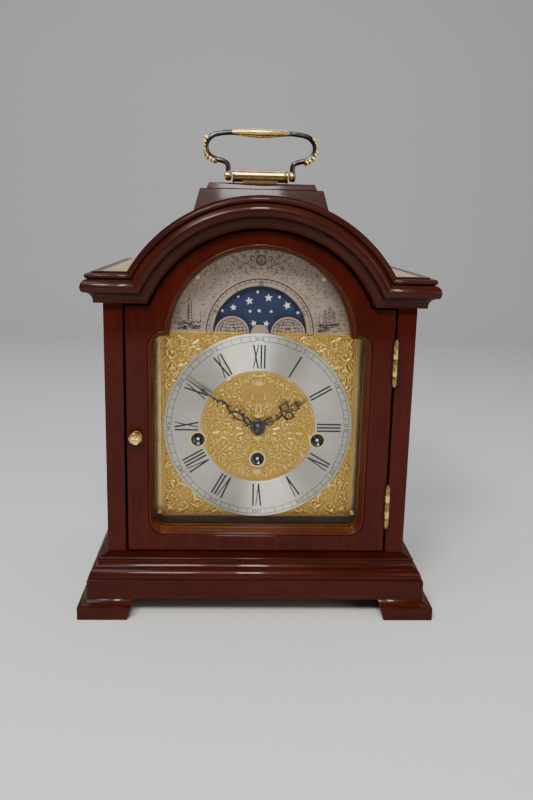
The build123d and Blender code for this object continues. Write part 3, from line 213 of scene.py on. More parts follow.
def varnished(name, dark, mid, light, grain="z", gloss=0.24, coat=0.16):
    """Polished mahogany: long grain, ribbon stripe, short pores and a lacquer coat."""
    look = Look(name)
    source = arc_vector(look) if grain == "arc" else None
    along = look.place(GRAIN[grain], source)
    streaks = look.noise(along, 190, 9, 0.62, 0.4)
    ribbon = look.noise(along, 34, 4, 0.5, 0.8)
    mottle = look.noise(look.place((1, 1, 1), source), 26, 4, 0.5)
    base = look.ramp(streaks, (0.12, dark), (0.50, mid), (0.90, light))
    tone = look.ramp(ribbon, (0.32, (0.88, 0.88, 0.88)), (0.68, (1.06, 1.04, 1.03)))
    body = look.mix(0.8, base, tone, "MULTIPLY")
    blotch = look.ramp(mottle, (0.30, (0.78, 0.74, 0.72)), (0.70, (1.1, 1.08, 1.06)))
    body = look.mix(0.75, body, blotch, "MULTIPLY")
    pore_scale = tuple(0.25 * value if value < 1 else value for value in GRAIN[grain])
    pores = look.noise(look.place(pore_scale, source), 1300, 2, 0.5)
    pore_mask = look.ramp(pores, (0.34, (1, 1, 1)), (0.42, (0, 0, 0)))
    body = look.mix(look.span(pore_mask, 0, 0.5), body, tuple(0.35 * v for v in dark))
    look.colour(body)
    look.rough(mottle, gloss, gloss + 0.14)
    look.set(Coat_Weight=coat, Coat_Roughness=0.06, Specular_IOR_Level=0.08)
    look.bump(streaks, 0.05, 0.0006)
    look.bump(pores, 0.05, 0.0002)
    return look.material


def bare_wood(name, dark, light, grain="y"):
    """Unvarnished boards: matt, pale, with open grain."""
    look = Look(name)
    along = look.place(GRAIN[grain])
    streaks = look.noise(along, 240, 8, 0.6, 0.5)
    broad = look.noise(along, 45, 3, 0.5, 0.6)
    body = look.mix(0.5, look.ramp(streaks, (0.3, dark), (0.7, light)),
                    look.ramp(broad, (0.35, dark), (0.65, light)))
    look.colour(body)
    look.rough(streaks, 0.55, 0.75)
    look.bump(streaks, 0.25, 0.0004)
    return look.material


def metal(name, dark, light, rough=(0.16, 0.34), scale=220, brushed=(1, 1, 1), bump=0.05):
    """Bare metal with handling marks, faint brushing and tarnish in broad patches."""
    look = Look(name)
    fine = look.noise(look.place(brushed), scale * 8, 3, 0.6)
    patches = look.noise(look.place(), scale, 5, 0.6)
    look.colour(look.ramp(patches, (0.35, dark), (0.65, light)))
    look.rough(look.mix(0.5, patches, fine), rough[0], rough[1])
    look.set(Metallic=1.0)
    look.bump(fine, bump, 0.0002)
    return look.material


def gilt_with_painted_light(name):
    """Gilt casting: lighter on the high places and darker low down as painted highlight and painted shade, with
    painted cavity shade beside the ridges and a matted ground.
    """
    look = Look(name)
    height = look.node("ShaderNodeAttribute", attribute_name="relief").outputs["Fac"]
    patches = look.noise(look.place(), 90, 4, 0.6)
    ground = look.noise(look.place(), 2600, 2, 0.5)
    painted_cavity_shade = look.node("ShaderNodeAttribute", attribute_name="painted_cavity_shade").outputs["Fac"]
    # Painted highlight and shade: the gold runs from dark brown-gold low down to pale bright gold on the high
    # places.
    gold = look.ramp(height, (0.0, (0.58, 0.33, 0.065)), (0.35, (0.76, 0.47, 0.115)),
                     (0.9, (1.0, 0.74, 0.24)))
    toned = look.ramp(patches, (0.3, (0.84, 0.80, 0.74)), (0.7, (1.08, 1.05, 1.0)))
    body = look.mix(0.6, gold, toned, "MULTIPLY")
    # Painted cavity shade: dark brown mixed in just beside the ridges, where shade falls.
    look.colour(look.mix(look.span(painted_cavity_shade, 0.0, 0.85), body, (0.10, 0.042, 0.007)))
    look.rough(look.mix(0.6, ground, height), 0.40, 0.20)
    look.set(Metallic=1.0)
    look.bump(ground, 0.30, 0.00025)
    return look.material


def silvered_ring(name):
    """Silvered brass, brushed in circles about the ring's centre."""
    look = Look(name)
    coords = look.node("ShaderNodeTexCoord").outputs["Object"]
    split = look.node("ShaderNodeSeparateXYZ")
    look.link(coords, split.inputs[0])
    flat = look.node("ShaderNodeCombineXYZ")
    look.link(split.outputs["X"], flat.inputs["X"])
    look.link(split.outputs["Z"], flat.inputs["Y"])
    length = look.node("ShaderNodeVectorMath", operation="LENGTH")
    look.link(flat.outputs[0], length.inputs[0])
    rings = look.node("ShaderNodeCombineXYZ")
    look.link(length.outputs["Value"], rings.inputs["X"])
    brushing = look.noise(rings.outputs[0], 5200, 4, 0.7)
    patches = look.noise(look.place(), 40, 3, 0.5)
    look.colour(look.ramp(patches, (0.3, (0.62, 0.565, 0.515)), (0.7, (0.72, 0.665, 0.61))))
    look.rough(brushing, 0.42, 0.50)
    look.set(Metallic=1.0, Anisotropic=0.93, Anisotropic_Rotation=0.25)
    tangent = look.node("ShaderNodeTangent", direction_type="RADIAL", axis="Y")
    look.link(tangent.outputs["Tangent"], look.shader.inputs["Tangent"])
    look.bump(brushing, 0.06, 0.0001)
    return look.material


def plate_silver(name):
    """Warm silvered plate, faintly brushed and toned with age."""
    look = Look(name)
    patches = look.noise(look.place(), 70, 5, 0.6)
    fine = look.noise(look.place((1, 1, 0.15)), 1800, 3, 0.6)
    look.colour(look.ramp(patches, (0.3, (0.40, 0.290, 0.245)), (0.7, (0.50, 0.375, 0.320))))
    look.rough(fine, 0.36, 0.52)
    look.set(Metallic=0.8)
    look.bump(fine, 0.06, 0.0001)
    return look.material


def gilded_casting(name):
    """Dark patinated arms with worn gilding where the gilt attribute says."""
    look = Look(name)
    gilt = look.node("ShaderNodeAttribute", attribute_name="gilt").outputs["Fac"]
    wear = look.noise(look.place(), 380, 5, 0.6)
    broad = look.noise(look.place(), 130, 3, 0.5)
    mask = look.ramp(look.mix(0.22, gilt, wear), (0.26, (0, 0, 0)), (0.46, (1, 1, 1)))
    arms = look.ramp(broad, (0.35, (0.035, 0.031, 0.032)), (0.65, (0.14, 0.125, 0.13)))
    gold = look.ramp(wear, (0.30, (0.50, 0.31, 0.095)), (0.55, (0.90, 0.65, 0.28)))
    look.colour(look.mix(mask, arms, gold))
    look.rough(wear, 0.18, 0.30)
    look.set(Metallic=1.0)
    look.bump(wear, 0.06, 0.0003)
    return look.material


def painted(name, dark, light, rough=(0.35, 0.5), scale=600, metallic=0.0):
    """Thin paint with a little mottling and orange peel."""
    look = Look(name)
    fine = look.noise(look.place(), scale, 4, 0.55)
    look.colour(look.ramp(fine, (0.3, dark), (0.7, light)))
    look.rough(fine, rough[0], rough[1])
    look.set(Metallic=metallic)
    look.bump(fine, 0.05, 0.0001)
    return look.material


def arbor_end(name):
    """Dark steel, partly painted shade down in the winding hole, with a painted highlight: a bright dot at the
    middle of the arbor's end.
    """
    look = Look(name)
    centred = look.node("ShaderNodeVectorMath", operation="SUBTRACT")
    look.link(look.node("ShaderNodeTexCoord").outputs["Generated"], centred.inputs[0])
    centred.inputs[1].default_value = (0.5, 0.5, 0.5)
    flat = look.node("ShaderNodeVectorMath", operation="MULTIPLY")
    look.link(centred.outputs[0], flat.inputs[0])
    flat.inputs[1].default_value = (1, 0, 1)
    length = look.node("ShaderNodeVectorMath", operation="LENGTH")
    look.link(flat.outputs[0], length.inputs[0])
    fine = look.noise(look.place(), 1500, 3, 0.6)
    # Very dark steel, partly painted shade inside the winding hole.
    dark = look.ramp(fine, (0.3, (0.012, 0.012, 0.014)), (0.7, (0.035, 0.034, 0.036)))
    # Painted highlight: a near-white dot at the centre of the arbor's end.
    painted_glint_dot = look.ramp(length.outputs["Value"], (0.050, (1, 1, 1)), (0.062, (0, 0, 0)))
    look.colour(look.mix(painted_glint_dot, dark, (0.86, 0.85, 0.84)))
    look.rough(fine, 0.2, 0.4)
    look.set(Metallic=0.6)
    look.bump(fine, 0.08, 0.0001)
    return look.material


def clear_glass(name):
    """Thin window glass: a clear pane with a soft reflection and a few smears."""
    look = Look(name)
    smear = look.noise(look.place((1, 1, 0.5)), 30, 4, 0.6)
    clear = look.node("ShaderNodeBsdfTransparent")
    clear.inputs["Color"].default_value = (0.97, 0.985, 0.975, 1)
    shine = look.node("ShaderNodeBsdfGlossy")
    look.link(look.span(smear, 0.02, 0.05), shine.inputs["Roughness"])
    facing = look.node("ShaderNodeLayerWeight")
    facing.inputs["Blend"].default_value = 0.5
    slant = look.node("ShaderNodeMath", operation="POWER")
    look.link(facing.outputs["Facing"], slant.inputs[0])
    slant.inputs[1].default_value = 4.0
    blend = look.node("ShaderNodeMixShader")
    look.link(look.span(slant.outputs[0], 0.012, 0.50), blend.inputs["Fac"])
    look.link(clear.outputs[0], blend.inputs[1])
    look.link(shine.outputs[0], blend.inputs[2])
    output = look.tree.nodes["Material Output"]
    look.link(blend.outputs[0], output.inputs["Surface"])
    look.tree.nodes.remove(look.shader)
    return look.material


MAHOGANY_TONES = {
    "door": ((0.0282, 0.0024, 0.0007), (0.0465, 0.0044, 0.0012), (0.0662, 0.0070, 0.0021), "z"),
    "sight": ((0.0422, 0.0077, 0.0023), (0.0648, 0.0130, 0.0037), (0.0915, 0.0204, 0.0060), "z"),
    "base": ((0.0239, 0.0030, 0.0011), (0.0422, 0.0056, 0.0021), (0.0634, 0.0097, 0.0035), "x"),
    "side": ((0.0155, 0.0018, 0.0007), (0.0268, 0.0035, 0.0013), (0.0408, 0.0062, 0.0023), "z"),
    "arc": ((0.0211, 0.0035, 0.0017), (0.0366, 0.0063, 0.0030), (0.0563, 0.0109, 0.0049), "arc"),
    "top": ((0.0239, 0.0051, 0.0033), (0.0387, 0.0086, 0.0055), (0.0563, 0.0137, 0.0084), "x"),
    "roof": ((0.0183, 0.0033, 0.0017), (0.0310, 0.0056, 0.0028), (0.0479, 0.0100, 0.0049), "y"),
}
MAHOGANY = {key: varnished(f"{key}_mahogany", *tones) for key, tones in MAHOGANY_TONES.items()}
RAW = bare_wood("bare_wood", (0.30, 0.19, 0.105), (0.50, 0.345, 0.20))
STAINED = bare_wood("stained_board", (0.030, 0.014, 0.009), (0.065, 0.032, 0.019), "z")
BLACK_WOOD = bare_wood("blacked_board", (0.006, 0.005, 0.005), (0.014, 0.012, 0.011), "z")
BRASS = metal("polished_brass", (0.62, 0.40, 0.13), (0.86, 0.62, 0.27))
PLATE_BRASS = metal("dial_brass", (0.56, 0.38, 0.155), (0.70, 0.50, 0.225), (0.18, 0.28), 60,
                    (1, 1, 0.08))
AGED_BRASS = metal("aged_brass", (0.20, 0.135, 0.05), (0.42, 0.30, 0.13), (0.22, 0.40), 500)
SCREW_BRASS = metal("screw_brass", (0.86, 0.62, 0.26), (1.0, 0.80, 0.42), (0.38, 0.55))
STEEL = metal("ground_steel", (0.42, 0.42, 0.43), (0.62, 0.62, 0.64))
IRON = metal("cast_iron", (0.05, 0.05, 0.05), (0.10, 0.10, 0.10), (0.5, 0.7))
GILT = metal("worn_gilt", (0.62, 0.42, 0.16), (0.86, 0.63, 0.29), (0.16, 0.30), 260,
             (0.3, 1, 1), 0.06)
HANDLE_METAL = gilded_casting("gilded_casting")
GUNMETAL = metal("antique_arms", (0.045, 0.042, 0.050), (0.13, 0.12, 0.14), (0.18, 0.36), 300)
RELIEF_GILT = gilt_with_painted_light("gilt_with_painted_light")
RING_SILVER = silvered_ring("silvered_ring")
ARCH_SILVER = plate_silver("plate_silver")
MOON_BLUE = painted("night_blue", (0.006, 0.012, 0.048), (0.011, 0.022, 0.078))
BLACK_PAINT = painted("black_wax", (0.006, 0.006, 0.007), (0.014, 0.014, 0.015))
BLACK_STEEL = painted("blacked_steel", (0.004, 0.004, 0.004), (0.010, 0.010, 0.011),
                      (0.24, 0.38), 900)
STAR_WHITE = painted("star_white", (0.62, 0.62, 0.60), (0.80, 0.80, 0.78))
GREY_INK = painted("grey_ink", (0.020, 0.020, 0.022), (0.050, 0.050, 0.054))
SEPIA = painted("sepia_wax", (0.032, 0.022, 0.018), (0.062, 0.045, 0.038))
# Glossy black, used only as painted shade inside the winding holes.
PAINTED_HOLE_SHADE = painted("painted_hole_shade_gloss", (0.004, 0.004, 0.004), (0.009, 0.009, 0.010),
                      (0.08, 0.18), 700)
MOON_CREAM = painted("moon_cream", (0.60, 0.50, 0.30), (0.80, 0.72, 0.50))
GLASS = clear_glass("window_glass")
ARBOR_STEEL = arbor_end("arbor_steel_with_painted_glint")


# ---------------------------------------------------------------- shapes
FLAT_LINE = ((-1, 1), (-1, 0), (1, 0), (1, 1))
ROUNDED_LINE = ((-1, 1), (-1, 0.5), (-0.75, 0.15), (-0.35, 0),
                (0.35, 0), (0.75, 0.15), (1, 0.5), (1, 1))


class Shape:
    """Vertices and faces gathered for one piece; lines and plates lie between its two depths."""

    def __init__(self, front=0.0, back=0.0, section=FLAT_LINE):
        self.front = front
        self.back = back
        self.section = section
        self.verts = []
        self.faces = []
        self.gilt = []

    def add(self, verts, faces, gilt=0.0):
        start = len(self.verts)
        self.verts += [tuple(vert) for vert in verts]
        self.faces += [tuple(start + index for index in face) for face in faces]
        self.gilt += [gilt] * len(verts)

    def rings(self, rings, closed=True, caps=True, gilt=0.0):
        """A skin over rings of vertices that all have the same count."""
        size = len(rings[0])
        sides = size if closed else size - 1
        verts = [vert for ring in rings for vert in ring]
        faces = []
        for row in range(len(rings) - 1):
            for i in range(sides):
                a, b = row * size + i, row * size + (i + 1) % size
                faces.append((a, b, b + size, a + size))
        if caps:
            faces.append(tuple(reversed(range(size))))
            faces.append(tuple((len(rings) - 1) * size + i for i in range(size)))
        self.add(verts, faces, gilt)

    def depth(self, share):
        return self.front + share * (self.back - self.front)

    def line(self, points, widths):
        """A flat bar of varying width on an upright face, along points (x, z)."""
        count = len(points)
        if not hasattr(widths, "__len__"):
            widths = [widths] * count
        rings = []
        for i, (x, z) in enumerate(points):
            before, after = points[max(i - 1, 0)], points[min(i + 1, count - 1)]
            dx, dz = after[0] - before[0], after[1] - before[1]
            length = hypot(dx, dz) or 1.0
            across = (-dz / length, dx / length)
            rings.append([(x + across[0] * a * widths[i] / 2, self.depth(d),
                           z + across[1] * a * widths[i] / 2) for a, d in self.section])
        self.rings(rings)

    def loop(self, centre, radius, width, count=28):
        """A closed ring drawn as one line."""
        rings = []
        for i in range(count + 1):
            angle = 2 * pi * i / count
            ring = []
            for a, d in self.section:
                r = radius + a * width / 2
                ring.append((centre[0] + r * cos(angle), self.depth(d), centre[1] + r * sin(angle)))
            rings.append(ring)
        self.rings(rings, caps=False)

    def plate(self, outline):
        """A flat shape with an outline of points (x, z), run anticlockwise as seen from the front."""
        count = len(outline)
        verts = [(x, y, z) for y in (self.front, self.back) for x, z in outline]
        faces = [tuple(range(count)), tuple(reversed(range(count, 2 * count)))]
        faces += [(i, i + count, (i + 1) % count + count, (i + 1) % count) for i in range(count)]
        self.add(verts, faces)

    def turned(self, centre, profile, axis, count=48, shape=None, gilt=0.0):
        """A turned shape of (along the axis, radius) points; shape varies the radius or depth."""
        rings = []
        for along, radius in profile:
            ring = []
            for i in range(count):
                angle = 2 * pi * i / count
                r, extra = (radius, 0.0) if shape is None else shape(along, radius, angle)
                u, v = r * cos(angle), r * sin(angle)
                if axis == "x":
                    ring.append((centre[0] + along + extra, centre[1] + u, centre[2] + v))
                else:
                    ring.append((centre[0] + u, centre[1] + along + extra, centre[2] + v))
            rings.append(ring)
        self.rings(rings, gilt=gilt)

    def tube(self, path, radii, count=14, gilts=None, squash=1.0):
        """A round bar along a path in space, with a radius at each point."""
        rings = []
        start = len(self.verts)
        side = Vector((0, 1, 0))
        for i, point in enumerate(path):
            run = (path[min(i + 1, len(path) - 1)] - path[max(i - 1, 0)]).normalized()
            other = run.cross(side).normalized()
            ring = []
            for k in range(count):
                angle = 2 * pi * k / count
                ring.append(point + radii[i] * (cos(angle) * other + squash * sin(angle) * side))
            rings.append(ring)
        self.rings(rings)
        if gilts is not None:
            for i, value in enumerate(gilts):
                for k in range(count):
                    self.gilt[start + i * count + k] = value

    def piece(self, name, material, body, slot, smooth=True):
        mesh = bpy.data.meshes.new(name)
        mesh.from_pydata(self.verts, [], self.faces)
        mesh.update()
        mended = bmesh.new()
        mended.from_mesh(mesh)
        bmesh.ops.recalc_face_normals(mended, faces=mended.faces)
        mended.to_mesh(mesh)
        mended.free()
        if any(self.gilt):
            layer = mesh.attributes.new("gilt", "FLOAT", "POINT")
            layer.data.foreach_set("value", self.gilt)
        if smooth:
            mesh.shade_smooth()
            mesh.set_sharp_from_angle(angle=radians(38))
        mesh.materials.append(material)
        made = bpy.data.objects.new(name, mesh)
        bpy.context.scene.collection.objects.link(made)
        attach(made, body)
        return made


def smooth_path(points, steps=8):
    """A curve through all the points, of two or three coordinates each."""
    points = [np.array(point, float) for point in points]
    padded = [2 * points[0] - points[1]] + points + [2 * points[-1] - points[-2]]
    curve = []
    for a, b, c, d in zip(padded, padded[1:], padded[2:], padded[3:]):
        for step in range(steps):
            t = step / steps
            curve.append(0.5 * (2 * b + (c - a) * t + (2 * a - 5 * b + 4 * c - d) * t * t
                                + (3 * b - a - 3 * c + d) * t ** 3))
    curve.append(points[-1])
    return [tuple(point) for point in curve]


def taper(count, first, middle, last):
    """Widths along a line: first at its start, middle half way, last at its end."""
    widths = []
    for i in range(count):
        t = i / (count - 1)
        if t < 0.5:
            widths.append(first + (middle - first) * 2 * t)
        else:
            widths.append(middle + (last - middle) * (2 * t - 1))
    return widths


def scroll_points(centre, radius, start, turns, hand, count=40):
    """A volute that winds inwards from radius; hand is 1 anticlockwise or -1 clockwise."""
    points = []
    for i in range(count):
        t = i / (count - 1)
        angle = start + hand * turns * 2 * pi * t
        r = radius * (1 - 0.80 * t ** 0.85)
        points.append((centre[0] + r * cos(angle), centre[1] + r * sin(angle)))
    return points


def arc_points(centre, radius, start, end, count=24):
    return [(centre[0] + radius * cos(start + (end - start) * i / (count - 1)),
             centre[1] + radius * sin(start + (end - start) * i / (count - 1))) for i in range(count)]


# ---------------------------------------------------------------- cast relief on the dial
LEAF_MIN_WIDTH = 0.22
SCROLL_POINTS = 46
SCATTERED_LEAVES = 6000
RELIEF_RISE = 0.75 * MM
RELIEF_STEP = 0.42
CORNER_REACH = 62.0
CELL = ((0, 0), (1, 0), (1, 1), (0, 1))


class Relief:
    """Heights of the cast ornament, 0 to 1, on a fine square grid over the dial."""

    def __init__(self):
        self.cell = 0.25
        self.half = 80.0
        size = int(2 * self.half / self.cell) + 1
        self.map = np.zeros((size, size))

    def window(self, x, z, reach):
        i0 = max(int((x - reach + self.half) / self.cell), 0)
        j0 = max(int((z - reach + self.half) / self.cell), 0)
        i1 = int((x + reach + self.half) / self.cell) + 2
        j1 = int((z + reach + self.half) / self.cell) + 2
        rows = np.arange(i0, min(i1, len(self.map))) * self.cell - self.half - x
        columns = np.arange(j0, min(j1, len(self.map))) * self.cell - self.half - z
        spot = (slice(i0, i0 + len(rows)), slice(j0, j0 + len(columns)))
        return spot, rows[:, None] ** 2 + columns[None] ** 2

    def ridge(self, points, widths, height=1.0):
        """A round-backed moulding along a line; widths in millimetres."""
        if not hasattr(widths, "__len__"):
            widths = [widths] * len(points)
        for i in range(len(points) - 1):
            (x0, z0), (x1, z1) = points[i], points[i + 1]
            steps = max(int(hypot(x1 - x0, z1 - z0) / 0.3), 1)
            for step in range(steps):
                t = step / steps
                width = widths[i] + (widths[i + 1] - widths[i]) * t
                spot, squares = self.window(x0 + (x1 - x0) * t, z0 + (z1 - z0) * t, width)
                back = height * np.sqrt(np.clip(1 - squares / width ** 2, 0, 1))
                back = back * min(1.0, 0.45 + width / 1.6)
                self.map[spot] = np.maximum(self.map[spot], back)

    def groove(self, points, width, depth):
        """A fine cut along a line."""
        for x, z in points:
            spot, squares = self.window(x, z, 2 * width)
            self.map[spot] -= depth * np.exp(-squares / width ** 2) * (self.map[spot] > 0.15)

    def leaf(self, x, z, angle, length, width, bend):
        """A pointed leaf with a rib that curls to one side."""
        points, widths = [], []
        for i in range(12):
            t = i / 11
            turn = angle + bend * t
            points.append((x + length * t * cos(turn), z + length * t * sin(turn)))
            widths.append(max(width * sin(pi * min(0.12 + 0.9 * i / 11, 1)) ** 0.8, LEAF_MIN_WIDTH))
        self.ridge(points, widths, 0.8)
        self.groove(points[1:10], 0.28, 0.10)

    def scroll(self, centre, radius, start, turns, hand, leaves=6):
        """A leafy volute with a bud in its eye."""
        points = scroll_points(centre, radius, start, turns, hand, SCROLL_POINTS)
        thick = 0.075 * radius + 0.30
        last = SCROLL_POINTS - 1
        self.ridge(points, [thick * (1 - 0.45 * i / last) for i in range(SCROLL_POINTS)])
        self.groove(points[2:34], 0.25, 0.07)
        self.ridge([points[-1], (points[-1][0] + 0.05, points[-1][1])], thick * 1.5, 1.0)
        for k in range(leaves):
            i = 2 + int(k * 38 / max(leaves - 1, 1))
            (x0, z0), (x1, z1) = points[i], points[i + 1]
            travel = atan2(z1 - z0, x1 - x0)
            reach = radius * (0.62 - 0.05 * k) * (1.0 if k % 2 else 0.75)
            self.leaf(x0, z0, travel - hand * 0.9, reach, 0.05 * radius + 0.38, hand * 1.1)

    def fan(self, x, z, middle, spread, count, length, width):
        """A shell of leaves from one point."""
        for k in range(count):
            share = 2 * k / (count - 1) - 1
            reach = length * (1 - 0.25 * abs(share))
            self.leaf(x, z, middle + share * spread, reach, width, 0.25 * share)

    def scatter(self, rng, count, allowed):
        """Small leaves in the open spaces, alike on both sides."""
        for _ in range(count):
            x, z = rng.uniform(0.5, 75), rng.uniform(-74, 74)
            angle, length = rng.uniform(-pi, pi), rng.uniform(2.2, 4.6)
            middle = (x + 0.5 * length * cos(angle), z + 0.5 * length * sin(angle))
            spots = ((x, z), middle, (x + length * cos(angle), z + length * sin(angle)))
            if not all(allowed(*spot) for spot in spots):
                continue
            if max(self.at(*spot) for spot in spots) > 0.12:
                continue
            width, bend = rng.uniform(0.40, 0.75), rng.uniform(-1.1, 1.1)
            self.leaf(x, z, angle, length, width, bend)
            self.leaf(-x, z, pi - angle, length, width, -bend)

    def settle(self):
        """Soften the casting slightly and give it an uneven surface."""
        noise = np.random.default_rng(11).normal(0, 1, self.map.shape)
        for _ in range(2):
            for axis in (0, 1):
                noise = (np.roll(noise, 1, axis) + noise + np.roll(noise, -1, axis)) / 3
        self.map = self.map + 0.09 * noise
        for axis in (0, 1):
            self.map = (np.roll(self.map, 1, axis) + 2 * self.map + np.roll(self.map, -1, axis)) / 4
        self.map = np.clip(self.map, -0.1, 1.15)
        # Painted cavity shade mask: high where the blurred height stands above the height, just beside the ridges.
        around = self.map.copy()
        for _ in range(5):
            for axis in (0, 1):
                around = (np.roll(around, 1, axis) + around + np.roll(around, -1, axis)) / 3
        self.painted_cavity_shade = np.clip(5.0 * (around - self.map) - 0.08, 0, 1)

    def at(self, x, z, source=None):
        grid = self.map if source is None else source
        i = (x + self.half) / self.cell
        j = (z + self.half) / self.cell
        i0, j0 = int(i), int(j)
        fi, fj = i - i0, j - j0
        part = grid[i0:i0 + 2, j0:j0 + 2]
        return float((part[0, 0] * (1 - fj) + part[0, 1] * fj) * (1 - fi)
                     + (part[1, 0] * (1 - fj) + part[1, 1] * fj) * fi)


def draw_spandrels(relief, half_x, low_z, high_z):
    """Four rococo corner ornaments, each mirrored about its own diagonal."""
    scrolls = ((17.0, 9.0, 5.0, 225, 1.0, 1), (29.5, 9.8, 4.6, 160, 0.9, -1), (42.5, 6.4, 3.6, 200, 0.9, 1),
               (26.0, 18.5, 3.4, 30, 0.8, 1), (52.5, 4.4, 2.4, 180, 0.8, -1), (8.0, 5.0, 2.8, 80, 0.8, 1),
               (22.0, 15.0, 2.6, 280, 0.8, -1), (35.0, 4.2, 2.4, 20, 0.7, 1))
    leaves = ((2.5, 3.5, 20, 6, 0.9), (4.5, 4.5, 45, 6, 0.9), (36, 13, -20, 7, 1.2),
              (33, 14.5, 60, 5.5, 1.0), (48, 8.5, 15, 6, 1.0), (9.0, 24, 95, 7, 1.2),
              (59, 3.4, 5, 6, 0.8), (18, 25.5, 150, 6, 1.1), (27, 15.5, 100, 6, 1.2),
              (40, 2.6, 10, 6, 0.9), (12, 3.2, -5, 6, 0.9))
    for side, (edge_z, up) in product((-1, 1), ((low_z, 1), (high_z, -1))):
        for swap in (False, True):
            def place(a, b):
                a, b = (b, a) if swap else (a, b)
                return side * (half_x - a), edge_z + up * b

            mirror = -side * up * (-1 if swap else 1)
            for a, b, radius, start, turns, hand in scrolls:
                base = radians(start) if not swap else pi / 2 - radians(start)
                way = atan2(up * sin(base), -side * cos(base))
                relief.scroll(place(a, b), radius, way, turns, hand * mirror, 5)
            for a, b, angle, length, width in leaves:
                base = radians(angle) if not swap else pi / 2 - radians(angle)
                way = atan2(up * sin(base), -side * cos(base))
                relief.leaf(*place(a, b), way, length, width, 0.5 * mirror)
        for offset in (0.5, 1.9):
            corner = (side * (half_x - offset), edge_z + up * offset)
            rim = [(corner[0], edge_z + up * CORNER_REACH), corner,
                   (side * (half_x - CORNER_REACH), corner[1])]
            relief.ridge(rim, 0.45, 0.45)


def turned_to(side, degrees):
    """A heading in radians, mirrored for the left side (-1)."""
    base = radians(degrees)
    return atan2(sin(base), side * cos(base))


def draw_centre(relief):
    """Symmetrical scrolls and leaves around a plain tablet and the hand arbor."""
    scrolls = ((8.2, 37.0, 4.0, 200, 1.5, -1), (17.5, 33.5, 4.3, 120, 1.5, 1),
               (18.6, 24.5, 3.6, 200, 1.4, -1), (27.0, 25.0, 4.6, 60, 1.6, 1),
               (7.2, 17.0, 4.6, 270, 1.6, 1), (17.0, 13.0, 4.4, 0, 1.5, -1),
               (28.5, 12.0, 6.0, 150, 1.7, -1), (37.0, 9.5, 3.4, 250, 1.3, 1),
               (22.0, 1.5, 4.8, 60, 1.6, 1), (14.5, -9.5, 4.6, 120, 1.5, -1),
               (26.0, -13.5, 5.4, 30, 1.7, 1), (36.5, -14.0, 3.8, 300, 1.4, -1),
               (16.5, -22.5, 4.4, 200, 1.5, 1), (27.5, -26.5, 4.8, 120, 1.6, -1),
               (13.5, -33.0, 4.2, 20, 1.5, 1), (5.6, -14.0, 2.8, 270, 1.3, 1),
               (5.5, -38.5, 2.8, 90, 1.3, -1), (33.0, 1.5, 2.6, 0, 1.2, 1))
    leaves = ((2.0, 12.0, 80, 8, 1.3), (4.5, 22.0, 60, 5, 1.0), (12.5, 20.5, 20, 6, 1.1),
              (24.0, 18.5, 40, 6, 1.2), (33.0, 18.5, 70, 6, 1.1), (10.5, 6.0, 35, 7, 1.3),
              (12.0, -2.0, -10, 6, 1.2), (30.0, -4.5, -30, 7, 1.2), (19.5, -16.5, -50, 6, 1.1),
              (33.5, -19.5, -70, 7, 1.2), (21.5, -30.5, -80, 6, 1.1), (9.0, -20.0, -60, 5, 1.0),
              (38.5, 16.0, 110, 6, 1.0), (39.5, -5.5, -80, 6, 1.0), (2.5, -17.0, -80, 4, 0.9),
              (22.5, 38.0, -30, 7, 1.0))
    tablet = ((0, 32.6), (10.5, 32.0), (13.6, 29.6), (13.4, 26.2), (10.5, 23.4), (4.5, 23.0), (0, 23.0))
    for side in (-1, 1):
        for x, z, radius, start, turns, hand in scrolls:
            way = turned_to(side, start)
            relief.scroll((side * x, z), 0.92 * radius, way, 0.55 * turns, side * hand, 6)
        for x, z, angle, length, width in leaves:
            relief.leaf(side * x, z, turned_to(side, angle), length, width, side * 0.5)
        relief.ridge(smooth_path([(side * x, z) for x, z in tablet], 10), 0.4, 0.35)
    relief.fan(0, 33.5, pi / 2, 1.1, 7, 7.5, 1.0)
    relief.fan(0, -35.0, -pi / 2, 1.2, 7, 6.5, 0.9)
    relief.fan(0, 7.0, pi / 2, 0.8, 5, 7.0, 1.1)
    relief.fan(0, -7.0, -pi / 2, 0.9, 5, 6.5, 1.1)
    relief.ridge(arc_points((0, 0), 43.9, 0, 2 * pi, 200), 0.55, 0.5)


